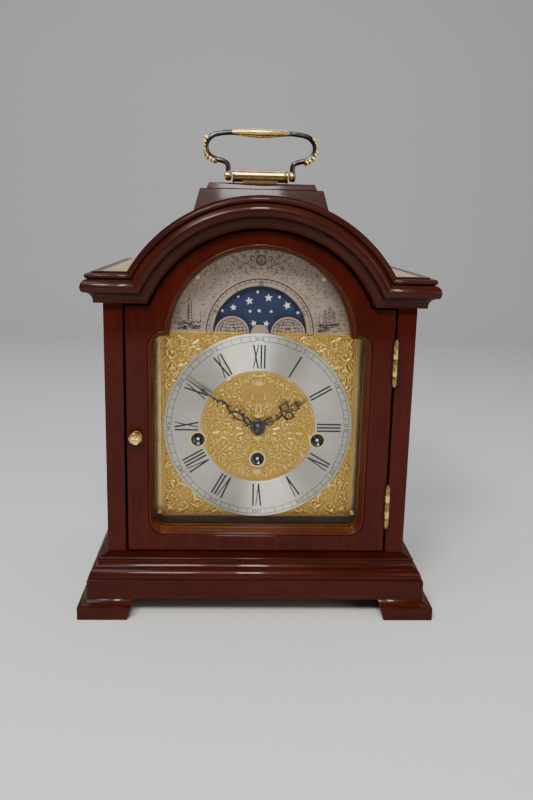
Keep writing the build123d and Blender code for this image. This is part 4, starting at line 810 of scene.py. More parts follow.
def relief_piece():
    """Corner plates and centre disc as one fine surface that replaces the plain cast plates."""
    half_x = (RELIEF_HIGH.x - RELIEF_LOW.x) / 2 / MM
    low_z = (RELIEF_LOW.z - DIAL_Z) / MM
    high_z = (RELIEF_HIGH.z - DIAL_Z) / MM
    relief = Relief()
    draw_spandrels(relief, half_x, low_z, high_z)
    draw_centre(relief)

    def open_ground(x, z):
        """Inside the corner plates or the centre disc, clear of the tablet and the edges."""
        on_corner = (abs(x) < half_x - 1.0 and low_z + 1.0 < z < high_z - 1.0
                     and hypot(x, z) > RING_R / MM)
        on_disc = 7.5 < hypot(x, z) < 43 and not (abs(x) < 14 and 21.5 < z < 33.5)
        return on_corner or on_disc

    relief.scatter(random.Random(17), SCATTERED_LEAVES, open_ground)
    relief.settle()
    holes = [(x / MM, (z - DIAL_Z) / MM) for x, z in WINDING]
    hole_r = GROMMET_R / MM - 0.4
    face_y, back_y = RELIEF_LOW.y, RELIEF_HIGH.y
    verts, faces, heights, painted_cavity_shades = [], [], [], []

    def settle_point(x, z):
        """Pulls a point that is nearly on a round edge onto it."""
        for hx, hz in holes:
            gap = hypot(x - hx, z - hz)
            if gap < hole_r + 0.05:
                x, z = hx + (x - hx) * hole_r / gap, hz + (z - hz) * hole_r / gap
        return x, z

    def add_point(x, z):
        height = relief.at(x, z)
        heights.append(height)
        painted_cavity_shades.append(relief.at(x, z, relief.painted_cavity_shade))
        verts.append((x * MM, face_y - RELIEF_RISE * height, DIAL_Z + z * MM))
        return len(verts) - 1

    ring_r = RING_R / MM - 0.15
    columns = int(round(2 * half_x / RELIEF_STEP))
    rows = int(round((high_z - low_z) / RELIEF_STEP))
    index = {}

    def grid_point(i, j):
        return -half_x + 2 * half_x * i / columns, low_z + (high_z - low_z) * j / rows

    def corner_vertex(i, j):
        if (i, j) not in index:
            x, z = grid_point(i, j)
            gap = hypot(x, z)
            if gap < ring_r + 0.05:
                x, z = x * ring_r / gap, z * ring_r / gap
            index[(i, j)] = add_point(x, z)
        return index[(i, j)]

    for i in range(columns):
        for j in range(rows):
            if hypot(*grid_point(i + 0.5, j + 0.5)) > ring_r:
                faces.append(tuple(corner_vertex(i + a, j + b) for a, b in CELL))
    inner_r, outer_r, around = 2.0, RING_INNER_R / MM - 0.1, 440
    across = int((outer_r - inner_r) / RELIEF_STEP)
    disc = {}

    def polar_point(i, k):
        r, angle = inner_r + (outer_r - inner_r) * i / across, 2 * pi * k / around
        return r * cos(angle), r * sin(angle)

    def disc_vertex(i, k):
        k %= around
        if (i, k) not in disc:
            disc[(i, k)] = add_point(*settle_point(*polar_point(i, k)))
        return disc[(i, k)]

    for i in range(across):
        for k in range(around):
            x, z = polar_point(i + 0.5, k + 0.5)
            if all(hypot(x - hx, z - hz) > hole_r for hx, hz in holes):
                faces.append(tuple(disc_vertex(i + a, k + b) for a, b in CELL))
    mesh = bpy.data.meshes.new("cast_relief")
    mesh.from_pydata(verts, [], faces)
    # The heights, and the painted cavity shade mask, go onto the points.
    for name, values in (("relief", heights), ("painted_cavity_shade", painted_cavity_shades)):
        layer = mesh.attributes.new(name, "FLOAT", "POINT")
        layer.data.foreach_set("value", values)
    edges = bmesh.new()
    edges.from_mesh(mesh)
    rim = [edge for edge in edges.edges if edge.is_boundary]
    made = bmesh.ops.extrude_edge_only(edges, edges=rim)["geom"]
    for vert in made:
        if isinstance(vert, bmesh.types.BMVert):
            vert.co.y = back_y
    bmesh.ops.recalc_face_normals(edges, faces=edges.faces)
    edges.to_mesh(mesh)
    edges.free()
    mesh.shade_smooth()
    mesh.set_sharp_from_angle(angle=radians(60))
    mesh.materials.append(RELIEF_GILT)
    piece = bpy.data.objects.new("cast_relief", mesh)
    bpy.context.scene.collection.objects.link(piece)
    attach(piece, "case")
    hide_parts("dial_relief_plates")


# ---------------------------------------------------------------- chapter ring
PROUD = 0.05 * MM
SUNK = 0.20 * MM
NUMERALS = ("XII", "I", "II", "III", "IV", "V", "VI", "VII", "VIII", "IX", "X", "XI")
NUMERAL_LOW_R = 46.6 * MM
NUMERAL_HIGH_R = 65.4 * MM
TRACK_INNER_R = 68.0 * MM
TRACK_OUTER_R = 72.0 * MM
THICK, THIN, PEN = 1.45 * MM, 0.95 * MM, 0.42 * MM


def on_dial(across, radius, minutes):
    """A point drawn upright at twelve, turned clockwise to its minute."""
    angle = 2 * pi * minutes / 60
    return (across * cos(angle) + radius * sin(angle), DIAL_Z - across * sin(angle) + radius * cos(angle))


def roman_numerals():
    ink = Shape(RING_FACE_Y - PROUD, RING_FACE_Y + SUNK)
    widths = {"I": 2.7 * MM, "V": 5.6 * MM, "X": 5.6 * MM}
    for hour, word in enumerate(NUMERALS):
        at = -sum(widths[letter] for letter in word) / 2
        for letter in word:
            half = widths[letter] / 2
            middle, reach = at + half, half - 0.9 * MM
            bars = {"I": ((0, 0, THICK),), "V": ((-reach, 0, THICK), (reach, 0, THIN)),
                    "X": ((-reach, reach, THICK), (reach, -reach, THIN))}[letter]
            for top, foot, width in bars:
                ends = (on_dial(middle + top, NUMERAL_HIGH_R, 5 * hour),
                        on_dial(middle + foot, NUMERAL_LOW_R, 5 * hour))
                ink.line(ends, width)
            at += widths[letter]
    ink.piece("roman_numerals", BLACK_PAINT, "case", "black_steel", False)


def minute_track():
    ink = Shape(RING_FACE_Y - PROUD, RING_FACE_Y + SUNK)
    gap = 0.42
    for five in range(12):
        for radius in (TRACK_INNER_R, TRACK_OUTER_R):
            share = [5 * five + gap + (5 - 2 * gap) * i / 24 for i in range(25)]
            ink.line([on_dial(0, radius, minute) for minute in share], PEN)
        for minute in [5 * five + extra for extra in (gap, 1, 2, 3, 4, 5 - gap)]:
            ends = (on_dial(0, TRACK_INNER_R, minute), on_dial(0, TRACK_OUTER_R, minute))
            ink.line(ends, PEN)
    ink.piece("minute_track", GREY_INK, "case", "black_steel", False)


def figures(name, words, size, face_y, material, body):
    """Small printed figures; words are (text, middle x, middle z, clockwise turn)."""
    ink = Shape()
    for text, x, z, turn in words:
        curve = bpy.data.curves.new("figure", "FONT")
        curve.body = text
        curve.size = size
        curve.align_x = "CENTER"
        curve.align_y = "CENTER"
        curve.extrude = 0.08 * MM
        curve.resolution_u = 3
        holder = bpy.data.objects.new("figure", curve)
        bpy.context.scene.collection.objects.link(holder)
        bpy.context.view_layer.update()
        mesh = bpy.data.meshes.new_from_object(holder)
        verts = []
        for vert in mesh.vertices:
            u, v = vert.co.x, vert.co.y
            verts.append((x + u * cos(turn) + v * sin(turn), face_y - vert.co.z,
                          z - u * sin(turn) + v * cos(turn)))
        ink.add(verts, [tuple(polygon.vertices) for polygon in mesh.polygons])
        bpy.data.objects.remove(holder)
        bpy.data.meshes.remove(mesh)
        bpy.data.curves.remove(curve)
    ink.piece(name, material, body, "black_steel", False)


def minute_figures():
    middle_r = (TRACK_INNER_R + TRACK_OUTER_R) / 2
    words = []
    for five in range(1, 13):
        x, z = on_dial(0, middle_r, 5 * five)
        words.append((str(5 * five), x, z, 2 * pi * five / 12))
    figures("minute_figures", words, 5.8 * MM, RING_FACE_Y, GREY_INK, "case")


# ---------------------------------------------------------------- moon dial
BAND_INNER_R = 35.3 * MM
BAND_OUTER_R = 41.5 * MM
HUMP_X = 21.5 * MM
HUMP_R = 13.2 * MM
ARCH_FACE_Y = -59.8 * MM
BAND_FACE_Y = ARCH_LOW.y
PLATE_R = 70.8 * MM
ARCH_PLATE_Z = 212.5 * MM
TENDRIL_TRIES = 5200
TENDRIL_GAP = 2.05 * MM
MOON_R = 12.2 * MM


def lunar_scale():
    """Outline, day marks and three figures on the raised band above the moon."""
    ink = Shape(BAND_FACE_Y - PROUD, BAND_FACE_Y + SUNK)
    centre = (0, MOON_Z)
    low = 0.035
    inner, outer = BAND_INNER_R + 0.35 * MM, BAND_OUTER_R - 0.45 * MM
    ink.line(arc_points(centre, inner, low, pi - low, 64), 0.60 * MM)
    ink.line(arc_points(centre, outer, low, pi - low, 64), 0.80 * MM)
    middle = BAND_OUTER_R - 2.6 * MM
    ink.line(arc_points(centre, middle, 0.06, pi - 0.06, 64), 0.30 * MM)
    for side in (0, 1):
        angle = low if side == 0 else pi - low
        r = (inner + outer) / 2
        x, z = centre[0] + r * cos(angle), centre[1] + r * sin(angle)
        ink.line(arc_points((x, z), (outer - inner) / 2, pi, 2 * pi, 12), 0.42 * MM)
    for day in range(1, 30):
        angle = low + (pi - 2 * low) * day / 30
        reach = inner if day % 5 == 0 else middle
        ends = [(centre[0] + r * cos(angle), centre[1] + r * sin(angle)) for r in (reach, outer)]
        ink.line(ends, 0.45 * MM)
    ink.piece("lunar_scale_marks", BLACK_PAINT, "case", "black_steel", False)
    words = []
    for text, angle in (("8", 0.86 * pi), ("15", 0.5 * pi), ("22", 0.14 * pi)):
        r = BAND_INNER_R + 2.3 * MM
        words.append((text, r * cos(angle), MOON_Z + r * sin(angle), pi / 2 - angle))
    figures("lunar_scale_figures", words, 4.8 * MM, BAND_FACE_Y - PROUD, BLACK_PAINT, "case")


def globe_lines():
    """Map nets on the two humps that hide the moon."""
    ink = Shape(ARCH_FACE_Y - PROUD, ARCH_FACE_Y + SUNK)
    reach = HUMP_R - 1.7 * MM
    for side in (-1, 1):
        centre = (side * HUMP_X, MOON_Z - 0.6 * MM)
        ink.line(arc_points(centre, reach, 0.06, pi - 0.06, 30), 0.55 * MM)
        for share in (-0.75, -0.45, -0.15, 0.15, 0.45, 0.75):
            points = []
            for i in range(14):
                rise = i / 13 * sqrt(1 - share * share * 0.9)
                bow = share * sqrt(max(1 - rise * rise, 0))
                points.append((centre[0] + reach * bow, centre[1] + 0.6 * MM + reach * rise * 0.97))
            ink.line(points, 0.40 * MM)
        for share in (0.22, 0.44, 0.66, 0.85):
            span = reach * sqrt(1 - share * share)
            points = []
            for i in range(13):
                u = i / 6 - 1
                points.append((centre[0] + span * u, centre[1] + reach * share - 0.9 * MM * (1 - u * u)))
            ink.line(points, 0.40 * MM)
        rng = random.Random(5 + side)
        for _ in range(12):
            angle, r = rng.uniform(0.15, 2.95), reach * sqrt(rng.uniform(0.05, 0.75))
            x, z = centre[0] + r * cos(angle), centre[1] + r * sin(angle) * 0.95 + 0.3 * MM
            coast = [(x + 1.5 * MM * (i / 5 - 0.5), z + rng.uniform(-0.5, 0.5) * MM) for i in range(6)]
            ink.line(smooth_path(coast, 3), 0.55 * MM)
    ink.piece("globe_engraving", BLACK_PAINT, "case", "black_steel", False)


def in_arch(x, z, margin):
    """Whether a point is on the plain part of the arch plate."""
    return (hypot(x, z - ARCH_PLATE_Z) < PLATE_R - margin and hypot(x, z - MOON_Z) > BAND_OUTER_R + margin
            and z > ARCH_LOW.z + margin)


def engrave_scroll(ink, x, z, radius, start, hand, width):
    points = scroll_points((x, z), radius, start, 0.85, hand, 18)
    if all(in_arch(px, pz, 0.4 * MM) for px, pz in points):
        ink.line(points, taper(18, 0.5 * width, width, 0.5 * width))
        for i in (3, 7, 11):
            (x0, z0), (x1, z1) = points[i], points[i + 1]
            angle = atan2(z1 - z0, x1 - x0) - hand * 0.8
            spur = []
            for t in (0, 0.35, 0.7, 1.0):
                spur.append((x0 + radius * 0.5 * t * cos(angle + hand * t),
                             z0 + radius * 0.5 * t * sin(angle + hand * t)))
            if all(in_arch(px, pz, 0.3 * MM) for px, pz in spur):
                ink.line(spur, taper(4, width, 0.8 * width, 0.25 * width))


def tendril(x, z, heading, length, curve):
    """An S-shaped stroke that starts at a point and curls one way, then the other."""
    points = [(x, z)]
    steps = 10
    for i in range(steps):
        heading += curve * (1.0 if i < steps * 0.45 else -1.3) / steps
        x, z = x + length / steps * cos(heading), z + length / steps * sin(heading)
        points.append((x, z))
    return points


def filigree():
    """Fine engraved tendrils that fill the arch, alike on both sides."""
    faint = Shape(ARCH_FACE_Y - 0.03 * MM, ARCH_FACE_Y + SUNK)
    rng = random.Random(21)
    starts = []
    for _ in range(TENDRIL_TRIES):
        x, z = rng.uniform(0.3, 70) * MM, rng.uniform(218, 283) * MM
        heading, length = rng.uniform(-pi, pi), rng.uniform(2.6, 5.4) * MM
        points = tendril(x, z, heading, length, rng.choice((-1, 1)) * rng.uniform(2.0, 4.6))
        scene = abs(x - 53 * MM) < 7 * MM and z < 246 * MM
        crowded = any(hypot(x - px, z - pz) < TENDRIL_GAP for px, pz in starts)
        if scene or crowded or not all(in_arch(px, pz, 0.5 * MM) for px, pz in points):
            continue
        starts.append(points[0])
        starts.append(points[6])
        for side in (-1, 1):
            stroke = [(side * px, pz) for px, pz in points]
            faint.line(stroke, taper(len(stroke), 0.22 * MM, 0.40 * MM, 0.22 * MM))
    faint.piece("arch_filigree", SEPIA, "case", "black_steel", False)


VOLUTES = ((6.8, 0.8, 2.6, 170, -1), (11.6, -1.6, 2.2, 120, 1), (8.2, -5.2, 1.9, 30, 1),
           (4.2, -5.8, 1.6, 100, -1), (15.6, -5.2, 2.0, 60, -1), (3.6, 5.6, 1.5, 300, 1),
           (13.0, 3.0, 1.7, 200, 1), (18.2, -0.2, 1.6, 20, 1), (12.0, -8.4, 1.4, 90, 1))
TOWER = ((-2.2, 2.0), (-1.5, 13.5), (1.0, 13.5), (1.6, 2.0), (-2.2, 2.0))
TOWER_STROKES = ((-1.9, 4.0, 1.4, 4.0, 0.36), (-1.9, 6.2, 1.4, 6.2, 0.36), (-1.9, 8.4, 1.4, 8.4, 0.36),
                 (-1.9, 10.6, 1.4, 10.6, 0.36), (-2.6, 13.8, 1.9, 13.8, 0.3),
                 (-1.5, 14.0, -1.5, 16.4, 0.5), (0.9, 14.0, 0.9, 16.4, 0.5),
                 (-2.0, 16.5, -0.3, 19.6, 0.5), (1.4, 16.5, -0.3, 19.6, 0.5),
                 (-0.3, 19.6, -0.3, 22.5, 0.2), (-0.9, 3.0, -0.9, 13.0, 0.7), (2.8, 2.0, 2.8, 7.0, 0.3),
                 (5.2, 2.0, 5.2, 6.0, 0.3), (2.6, 7.0, 5.4, 6.2, 0.3))
HULL = ((-5.0, 2.6), (-4.2, 0.6), (3.8, 0.4), (5.4, 3.6), (2.0, 2.4), (-5.0, 2.6))
MASTS = ((-3.2, 2.5, 12.0), (0.2, 2.4, 15.0), (3.2, 3.0, 11.5))


def at_foot(foot, points):
    """Points in millimetres from the foot of a scene."""
    return [(foot[0] + x * MM, foot[1] + z * MM) for x, z in points]


def crown(ink):
    """A round boss with volutes at the top of the arch."""
    top = (0, ARCH_PLATE_Z + 59.5 * MM)
    ink.loop(top, 3.6 * MM, 0.75 * MM)
    ink.loop(top, 2.5 * MM, 0.36 * MM)
    for turn in (0.0, pi / 3, 2 * pi / 3):
        ends = [(top[0] + s * 2.4 * MM * cos(turn + 0.3), top[1] + s * 2.4 * MM * sin(turn + 0.3))
                for s in (-1, 1)]
        ink.line(ends, 0.2 * MM)
    for side in (-1, 1):
        for x, z, radius, start, hand in VOLUTES:
            engrave_scroll(ink, side * x * MM, top[1] + z * MM, radius * MM, turned_to(side, start),
                           side * hand, 0.62 * MM)


def tower(ink, foot):
    ink.line(at_foot(foot, TOWER), 0.48 * MM)
    for x0, z0, x1, z1, width in TOWER_STROKES:
        ink.line(at_foot(foot, ((x0, z0), (x1, z1))), width * MM)


def ship(ink, foot):
    """A hull with three masts, three sails on each, and the stays to the bow."""
    ink.line(at_foot(foot, HULL), 0.48 * MM)
    for x, low, high in MASTS:
        ink.line(at_foot(foot, ((x, low), (x, high))), 0.40 * MM)
        for share in (0.35, 0.62, 0.88):
            z = low + (high - low) * share
            span = 1.7 - 0.9 * share
            sail = ((x - span, z), (x - span * 1.1, z - 1.6), (x + span * 1.1, z - 1.9), (x + span, z),
                    (x - span, z))
            ink.line(at_foot(foot, sail), 0.36 * MM)
    for x, _, high in MASTS:
        ink.line(at_foot(foot, ((x, high), (6.0, 3.4))), 0.12 * MM)


def crown_and_scenes():
    """The darker engraving: the crown, a tower at the left, a ship at the right, and the sea."""
    ink = Shape(ARCH_FACE_Y - PROUD, ARCH_FACE_Y + SUNK)
    crown(ink)
    foot_z = ARCH_LOW.z + 6.5 * MM
    left, right = -53.5 * MM, 53.0 * MM
    tower(ink, (left, foot_z))
    ship(ink, (right, foot_z))
    rng = random.Random(3)
    for middle in (left, right):
        for _ in range(60):
            x, z = middle + rng.uniform(-8.5, 8.0) * MM, foot_z + rng.uniform(-4.8, 1.8) * MM
            wave = [(x + (i - 2) * 0.8 * MM, z + 0.35 * MM * sin(1.7 * i + x * 900)) for i in range(5)]
            if all(in_arch(px, pz, 0.5 * MM) for px, pz in wave):
                ink.line(wave, rng.uniform(0.25, 0.55) * MM)
    ink.piece("arch_engraving", BLACK_PAINT, "case", "black_steel", False)


STARS = ((-8.5, 24.0, 3.2, 12), (6.2, 26.6, 3.2, 0), (20.6, 21.0, 3.2, 20), (-20.6, 18.8, 2.6, 5),
         (-2.2, 31.0, 1.5, 30), (-17.0, 27.2, 1.3, 10), (14.6, 27.4, 1.4, 40), (-29.0, 16.2, 1.5, 0),
         (-7.8, 16.2, 1.5, 15), (-0.8, 16.6, 1.7, 50), (8.4, 16.2, 1.5, 25), (29.0, 15.6, 1.6, 8),
         (-4.8, 6.8, 2.7, 20), (4.8, 6.8, 2.7, 60))


def stars_and_moons():
    """Stars in both halves of the disc, and the two moons that wait behind the humps."""
    face = MOON_DISC_LOW.y
    stars = Shape(face - PROUD, face + SUNK)
    for half in (1, -1):
        for x, z, radius, turn in STARS:
            outline = []
            for k in range(10):
                r = radius * (1.0 if k % 2 == 0 else 0.40) * MM
                angle = radians(90 + turn) + 2 * pi * k / 10
                outline.append((half * x * MM + r * cos(angle), MOON_Z + half * z * MM + r * sin(angle)))
            stars.plate(outline)
    stars.piece("moon_disc_stars", STAR_WHITE, "moon_disc", "moon_blue", False)
    moons = Shape()
    rng = np.random.default_rng(4)
    for side in (-1, 1):
        craters = [(rng.uniform(0, 2 * pi), rng.uniform(0.1, 0.8), rng.uniform(0.08, 0.2))
                   for _ in range(9)]
        rings = []
        for i in range(16):
            share = 1 - i / 16
            ring = []
            for k in range(48):
                angle = 2 * pi * k / 48
                x, z = share * cos(angle), share * sin(angle)
                depth = 0.10 * sqrt(1 - share * share)
                for at, out, size in craters:
                    gap = (x - out * cos(at)) ** 2 + (z - out * sin(at)) ** 2
                    depth -= 0.05 * np.exp(-gap / size ** 2)
                ring.append((side * HUMP_X + MOON_R * x, face - max(depth, 0.0) * MM - 0.02 * MM,
                             MOON_Z + MOON_R * z))
            rings.append(ring)
        moons.rings(rings)
    moons.piece("painted_moons", MOON_CREAM, "moon_disc", "moon_blue")


# ---------------------------------------------------------------- hands
def hand_frame(degrees_clockwise):
    """Turns (along, across) on a hand into a point on the dial; across is to the left of the way out."""
    angle = radians(degrees_clockwise)

    def place(along, across):
        return (along * MM * sin(angle) - across * MM * cos(angle),
                DIAL_Z + along * MM * cos(angle) + across * MM * sin(angle))

    return place


MINUTE_ANGLE = -55.0
HOUR_ANGLE = 59.0
MINUTE_HAND_Y = (-67.0 * MM, -66.2 * MM)
HOUR_HAND_Y = (-63.4 * MM, -62.6 * MM)


def iron_line(shape, place, points, widths, steps=8):
    curve = smooth_path(points, steps)
    if hasattr(widths, "__len__"):
        spread = np.interp(np.linspace(0, 1, len(curve)), np.linspace(0, 1, len(widths)), widths)
    else:
        spread = [widths] * len(curve)
    shape.line([place(a, b) for a, b in curve], [w * MM for w in spread])


def curl(shape, place, along, across, radius, start, hand, width):
    """A small hook that ends in a bead."""
    points = scroll_points((along, across), radius, radians(start), 0.72, hand, 16)
    widths = [w * MM for w in taper(16, 0.7 * width, width, 0.8 * width)]
    shape.line([place(a, b) for a, b in points], widths)
    a, b = points[-1]
    shape.loop(place(a, b), 0.28 * MM, 0.56 * MM, 12)


def boss(shape, radius):
    front = shape.front
    profile = [(shape.back, radius), (front + 0.25 * MM, radius), (front, radius - 0.35 * MM),
               (front, 0.4 * MM)]
    shape.turned((0.0, 0.0, DIAL_Z), profile, "y")


def minute_hand():
    """A pierced serpentine hand with a domed cap."""
    cap_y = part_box("minute_hand")[0].y
    iron, place = Shape(*MINUTE_HAND_Y, ROUNDED_LINE), hand_frame(MINUTE_ANGLE)
    stem = ((2, 0), (6.5, 0.4), (10, 1.6), (13, 0.6), (15.5, -1.2), (19.5, -1.9), (23, -0.6), (26, 0.9),
            (29.8, 0.0), (32.6, -2.0), (36.4, -1.7), (40, 0.0), (46, 0.1), (53, -0.1), (60, 0), (69, 0))
    stem_widths = (2.8, 2.5, 2.3, 2.1, 2.1, 2.0, 1.9, 1.8, 1.8, 1.9, 1.7, 1.6, 1.4, 1.3, 1.0, 0.6)
    branches = (
        (stem, stem_widths),
        (((13.5, 0.4), (15.5, 2.3), (19.5, 2.9), (23, 1.9), (25.4, 0.8)), (1.2, 1.4, 1.2, 1.2)),
        (((9, 1.5), (8.6, 3.2), (10.6, 4.2), (12.6, 3.2)), (1.6, 1.3, 1.1, 1.0)),
        (((7.5, -0.2), (9.5, -1.8), (12.0, -2.4), (13.6, -1.2)), (1.6, 1.3, 1.1, 1.0)),
    )
    for points, widths in branches:
        iron_line(iron, place, points, widths)
    curls = ((16.6, -2.9, 1.3, 110, 1), (25.4, 2.2, 1.3, 240, -1), (33.6, -0.6, 1.3, 300, 1),
             (20.4, -3.3, 1.1, 80, 1), (38.6, 0.9, 1.1, 270, -1), (29.4, -1.4, 1.0, 160, 1),
             (21.2, 3.9, 1.0, 280, -1))
    for along, across, radius, start, hand in curls:
        curl(iron, place, along, across, radius, start, hand, 1.05)
    for side in (-1, 1):
        leaf = ((50.4, 0), (51.6, side * 1.6), (53.6, side * 0.5), (54.6, 0))
        iron_line(iron, place, leaf, (1.0, 0.8, 1.1, 0.9))
        iron_line(iron, place, ((42.6, 0), (41.4, side * 1.4)), (1.1, 0.6))
    boss(iron, 4.2 * MM)
    foot_y = iron.front - 0.3 * MM
    cap = [(iron.front, 3.4 * MM)]
    for i in range(10):
        lift = pi / 2 * (i + 1) / 10.5
        cap.append((foot_y - (foot_y - cap_y) * sin(lift), 3.3 * MM * cos(lift)))
    iron.turned((0, 0, DIAL_Z), cap, "y")
    made = iron.piece("minute_hand_ironwork", BLACK_STEEL, "minute_hand", "black_steel")
    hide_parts("minute_hand")


def hour_hand():
    """A hand with a trefoil of open loops near its tip."""
    iron, place = Shape(*HOUR_HAND_Y, ROUNDED_LINE), hand_frame(HOUR_ANGLE)
    branches = (
        (((4, 0), (8, 0.8), (11, 0.2), (14, -1.1), (18, -1.4), (22, 0.0)), (2.6, 2.0, 1.6, 1.5, 1.4, 1.5)),
        (((6.5, 0.6), (9.0, 2.6), (12.0, 2.6), (13.4, 1.0)), (1.4, 1.0, 0.9, 0.8)),
        (((6.5, -0.6), (8.8, -2.4), (11.4, -2.8), (13.6, -1.2)), (1.4, 1.0, 0.9, 0.8)),
    )
    for points, widths in branches:
        iron_line(iron, place, points, widths)
    for side in (-1, 1):
        iron.loop(place(26.0, side * 3.7), 3.0 * MM, 1.05 * MM)
        stalk = ((21.6, 0), (21.8, side * 2.6), (23.2, side * 4.8))
        iron_line(iron, place, stalk, (1.3, 1.1, 0.9))
        for along, across, start, hand in ((22.6, 5.9, 60, 1), (29.2, 6.2, 110, 1), (35.6, 2.6, 150, 1),
                                           (17.0, 1.6, 20, -1)):
            curl(iron, place, along, side * across, 1.05, 90 - side * start, side * hand, 0.75)
    iron.loop(place(32.6, 0), 2.6 * MM, 1.0 * MM)
    iron.loop(place(27.4, 0), 1.1 * MM, 0.8 * MM)
    iron_line(iron, place, ((34.8, 0), (36.6, 0), (39.5, 0), (45.5, 0)), (1.2, 2.0, 1.3, 0.4))
    boss(iron, 6.0 * MM)
    made = iron.piece("hour_hand_ironwork", BLACK_STEEL, "hour_hand", "black_steel")
    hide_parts("hour_hand")


def winding_hole_shade_sleeves():
    """Black dished sleeves inside the brass rings of the winding holes: dark pieces put in as painted shade down
    in each hole.
    """
    sleeves = Shape()
    profile = ((-57.4, 5.45), (-60.5, 5.45), (-60.75, 5.15), (-60.7, 4.6), (-60.2, 3.9), (-59.7, 3.2),
               (-59.4, 2.75), (-57.4, 2.75))
    circle = [(cos(2 * pi * k / 40), sin(2 * pi * k / 40)) for k in range(40)]
    for x, z in WINDING:
        rings = []
        for along, radius in profile:
            rings.append([(x + radius * MM * a, along * MM, z + radius * MM * b) for a, b in circle])
        sleeves.rings(rings + rings[:1], caps=False)
    sleeves.piece("winding_hole_shade_sleeves", PAINTED_HOLE_SHADE, "case", "black_steel")


# ---------------------------------------------------------------- sight moulding
SIGHT_LOW, SIGHT_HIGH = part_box("door_sight_mouldings")
GLASS_LOW, GLASS_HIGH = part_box("door_glass")
SIGHT_WIDTH = 4.4
SIGHT_HALF = SIGHT_HIGH.x - SIGHT_WIDTH * MM
SIGHT_FOOT_Z = SIGHT_LOW.z + SIGHT_WIDTH * MM
SIGHT_ARCH_R = 68.2 * MM
SIGHT_ARCH_Z = SIGHT_HIGH.z - SIGHT_WIDTH * MM - SIGHT_ARCH_R
SIGHT_EAR_Z = SIGHT_ARCH_Z + 4.0 * MM
SIGHT_CORNER_R = 8.0 * MM


def sight_outline(out):
    """The edge of the door's opening as points (x, z), moved outwards by out."""
    half, low, ear = SIGHT_HALF + out, SIGHT_FOOT_Z - out, SIGHT_EAR_Z + out
    corner, arch_r = SIGHT_CORNER_R + out, SIGHT_ARCH_R + out
    meet = atan2(ear - SIGHT_ARCH_Z, sqrt(arch_r ** 2 - (ear - SIGHT_ARCH_Z) ** 2))
    right = [(min(half * i / 12, half - corner), low) for i in range(11)]
    right.append((half - corner, low))
    right += arc_points((half - corner, low + corner), corner, -pi / 2, 0.0, 14)
    right += [(half, low + corner + (ear - low - 2 * corner) * i / 20) for i in range(1, 20)]
    right += arc_points((half - corner, ear - corner), corner, 0.0, pi / 2, 14)
    right += arc_points((0, SIGHT_ARCH_Z), arch_r, meet, pi / 2, 60)
    return right + [(-x, z) for x, z in right[-2:0:-1]]


def sight_moulding():
    """A rounded moulding around the glass: a quirk, a fat round, a step and a cove down to the pane."""
    front, pane, inside = SIGHT_LOW.y, GLASS_LOW.y, SIGHT_HIGH.y
    steps = ((SIGHT_WIDTH, 1.0), (4.05, 0.9), (3.9, 0.35), (3.6, 0.08), (3.2, 0.0), (2.8, 0.10),
             (2.45, 0.45), (2.3, 1.0), (2.05, 1.25), (1.7, 1.3), (1.45, 1.7), (1.2, 2.6), (0.8, 3.8),
             (0.35, 4.7), (0.0, 5.2))
    face = [(out, front + depth * MM) for out, depth in steps]
    outer = [(SIGHT_WIDTH, pane)] + face + [(0.0, pane)]
    inner = [(SIGHT_WIDTH, GLASS_HIGH.y), (0.0, GLASS_HIGH.y), (0.0, inside - 1.2 * MM), (1.2, inside),
             (SIGHT_WIDTH, inside)]
    wood = Shape()
    for profile in (outer, inner):
        rings = [[(x, depth, z) for x, z in sight_outline(out * MM)] for out, depth in profile]
        wood.rings(rings + rings[:1], caps=False)
    made = wood.piece("sight_moulding_rounded", MAHOGANY["sight"], "front_door", "mahogany")
    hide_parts("door_sight_mouldings")


# ---------------------------------------------------------------- door knob
def door_knob():
    """A turned brass knob with a flower pressed into its face."""
    x, z = (KNOB_LOW.x + KNOB_HIGH.x) / 2, (KNOB_LOW.z + KNOB_HIGH.z) / 2
    radius = (KNOB_HIGH.x - KNOB_LOW.x) / 2
    front, back = KNOB_LOW.y, KNOB_HIGH.y
    turning = ((0.0, 0.80), (0.6, 0.82), (0.9, 0.60), (3.0, 0.48), (4.2, 0.56), (5.2, 0.86), (5.9, 0.98),
               (6.7, 1.00), (7.5, 0.96), (8.1, 0.88), (8.4, 0.82), (8.1, 0.76))
    profile = [(back - depth * MM, share * radius) for depth, share in turning]
    for i in range(1, 12):
        t = i / 12
        profile.append((back - 8.1 * MM - 0.55 * MM * sin(pi * t / 2), 0.76 * (1 - t) * radius))

    def petals(along, r, angle):
        share = r / radius
        lift = 0.0
        if along < back - 8.0 * MM and share < 0.74:
            lift = -0.30 * MM * (0.5 + 0.5 * cos(8 * angle)) * sin(pi * min(share / 0.74, 1))
        return r, max(lift, front - along)

    knob = Shape()
    knob.turned((x, 0, z), profile, "y", 96, petals)
    made = knob.piece("door_knob_turned", BRASS, "front_door", "brass")
    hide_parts("door_knob")


# ---------------------------------------------------------------- carrying handle
HANDLE_HALF = ((26.4, 336.6), (26.6, 345.0), (30.5, 347.8), (36.0, 349.2), (41.0, 351.6),
               (43.8, 355.6), (44.2, 360.6), (41.8, 365.2), (37.4, 368.2), (30.0, 369.7), (22.0, 370.3),
               (11.0, 370.3), (0.0, 370.1))
EYE_X = 26.4
EYE_PROFILE = ((-3.0, 1.7), (-2.7, 3.2), (-1.8, 4.0), (0.0, 4.15), (1.8, 3.8), (2.5, 2.8), (2.6, 2.0),
               (3.0, 1.6))
ARM_R = 2.05
GRIP_HALF = 25.0
GRIP_R = 3.85


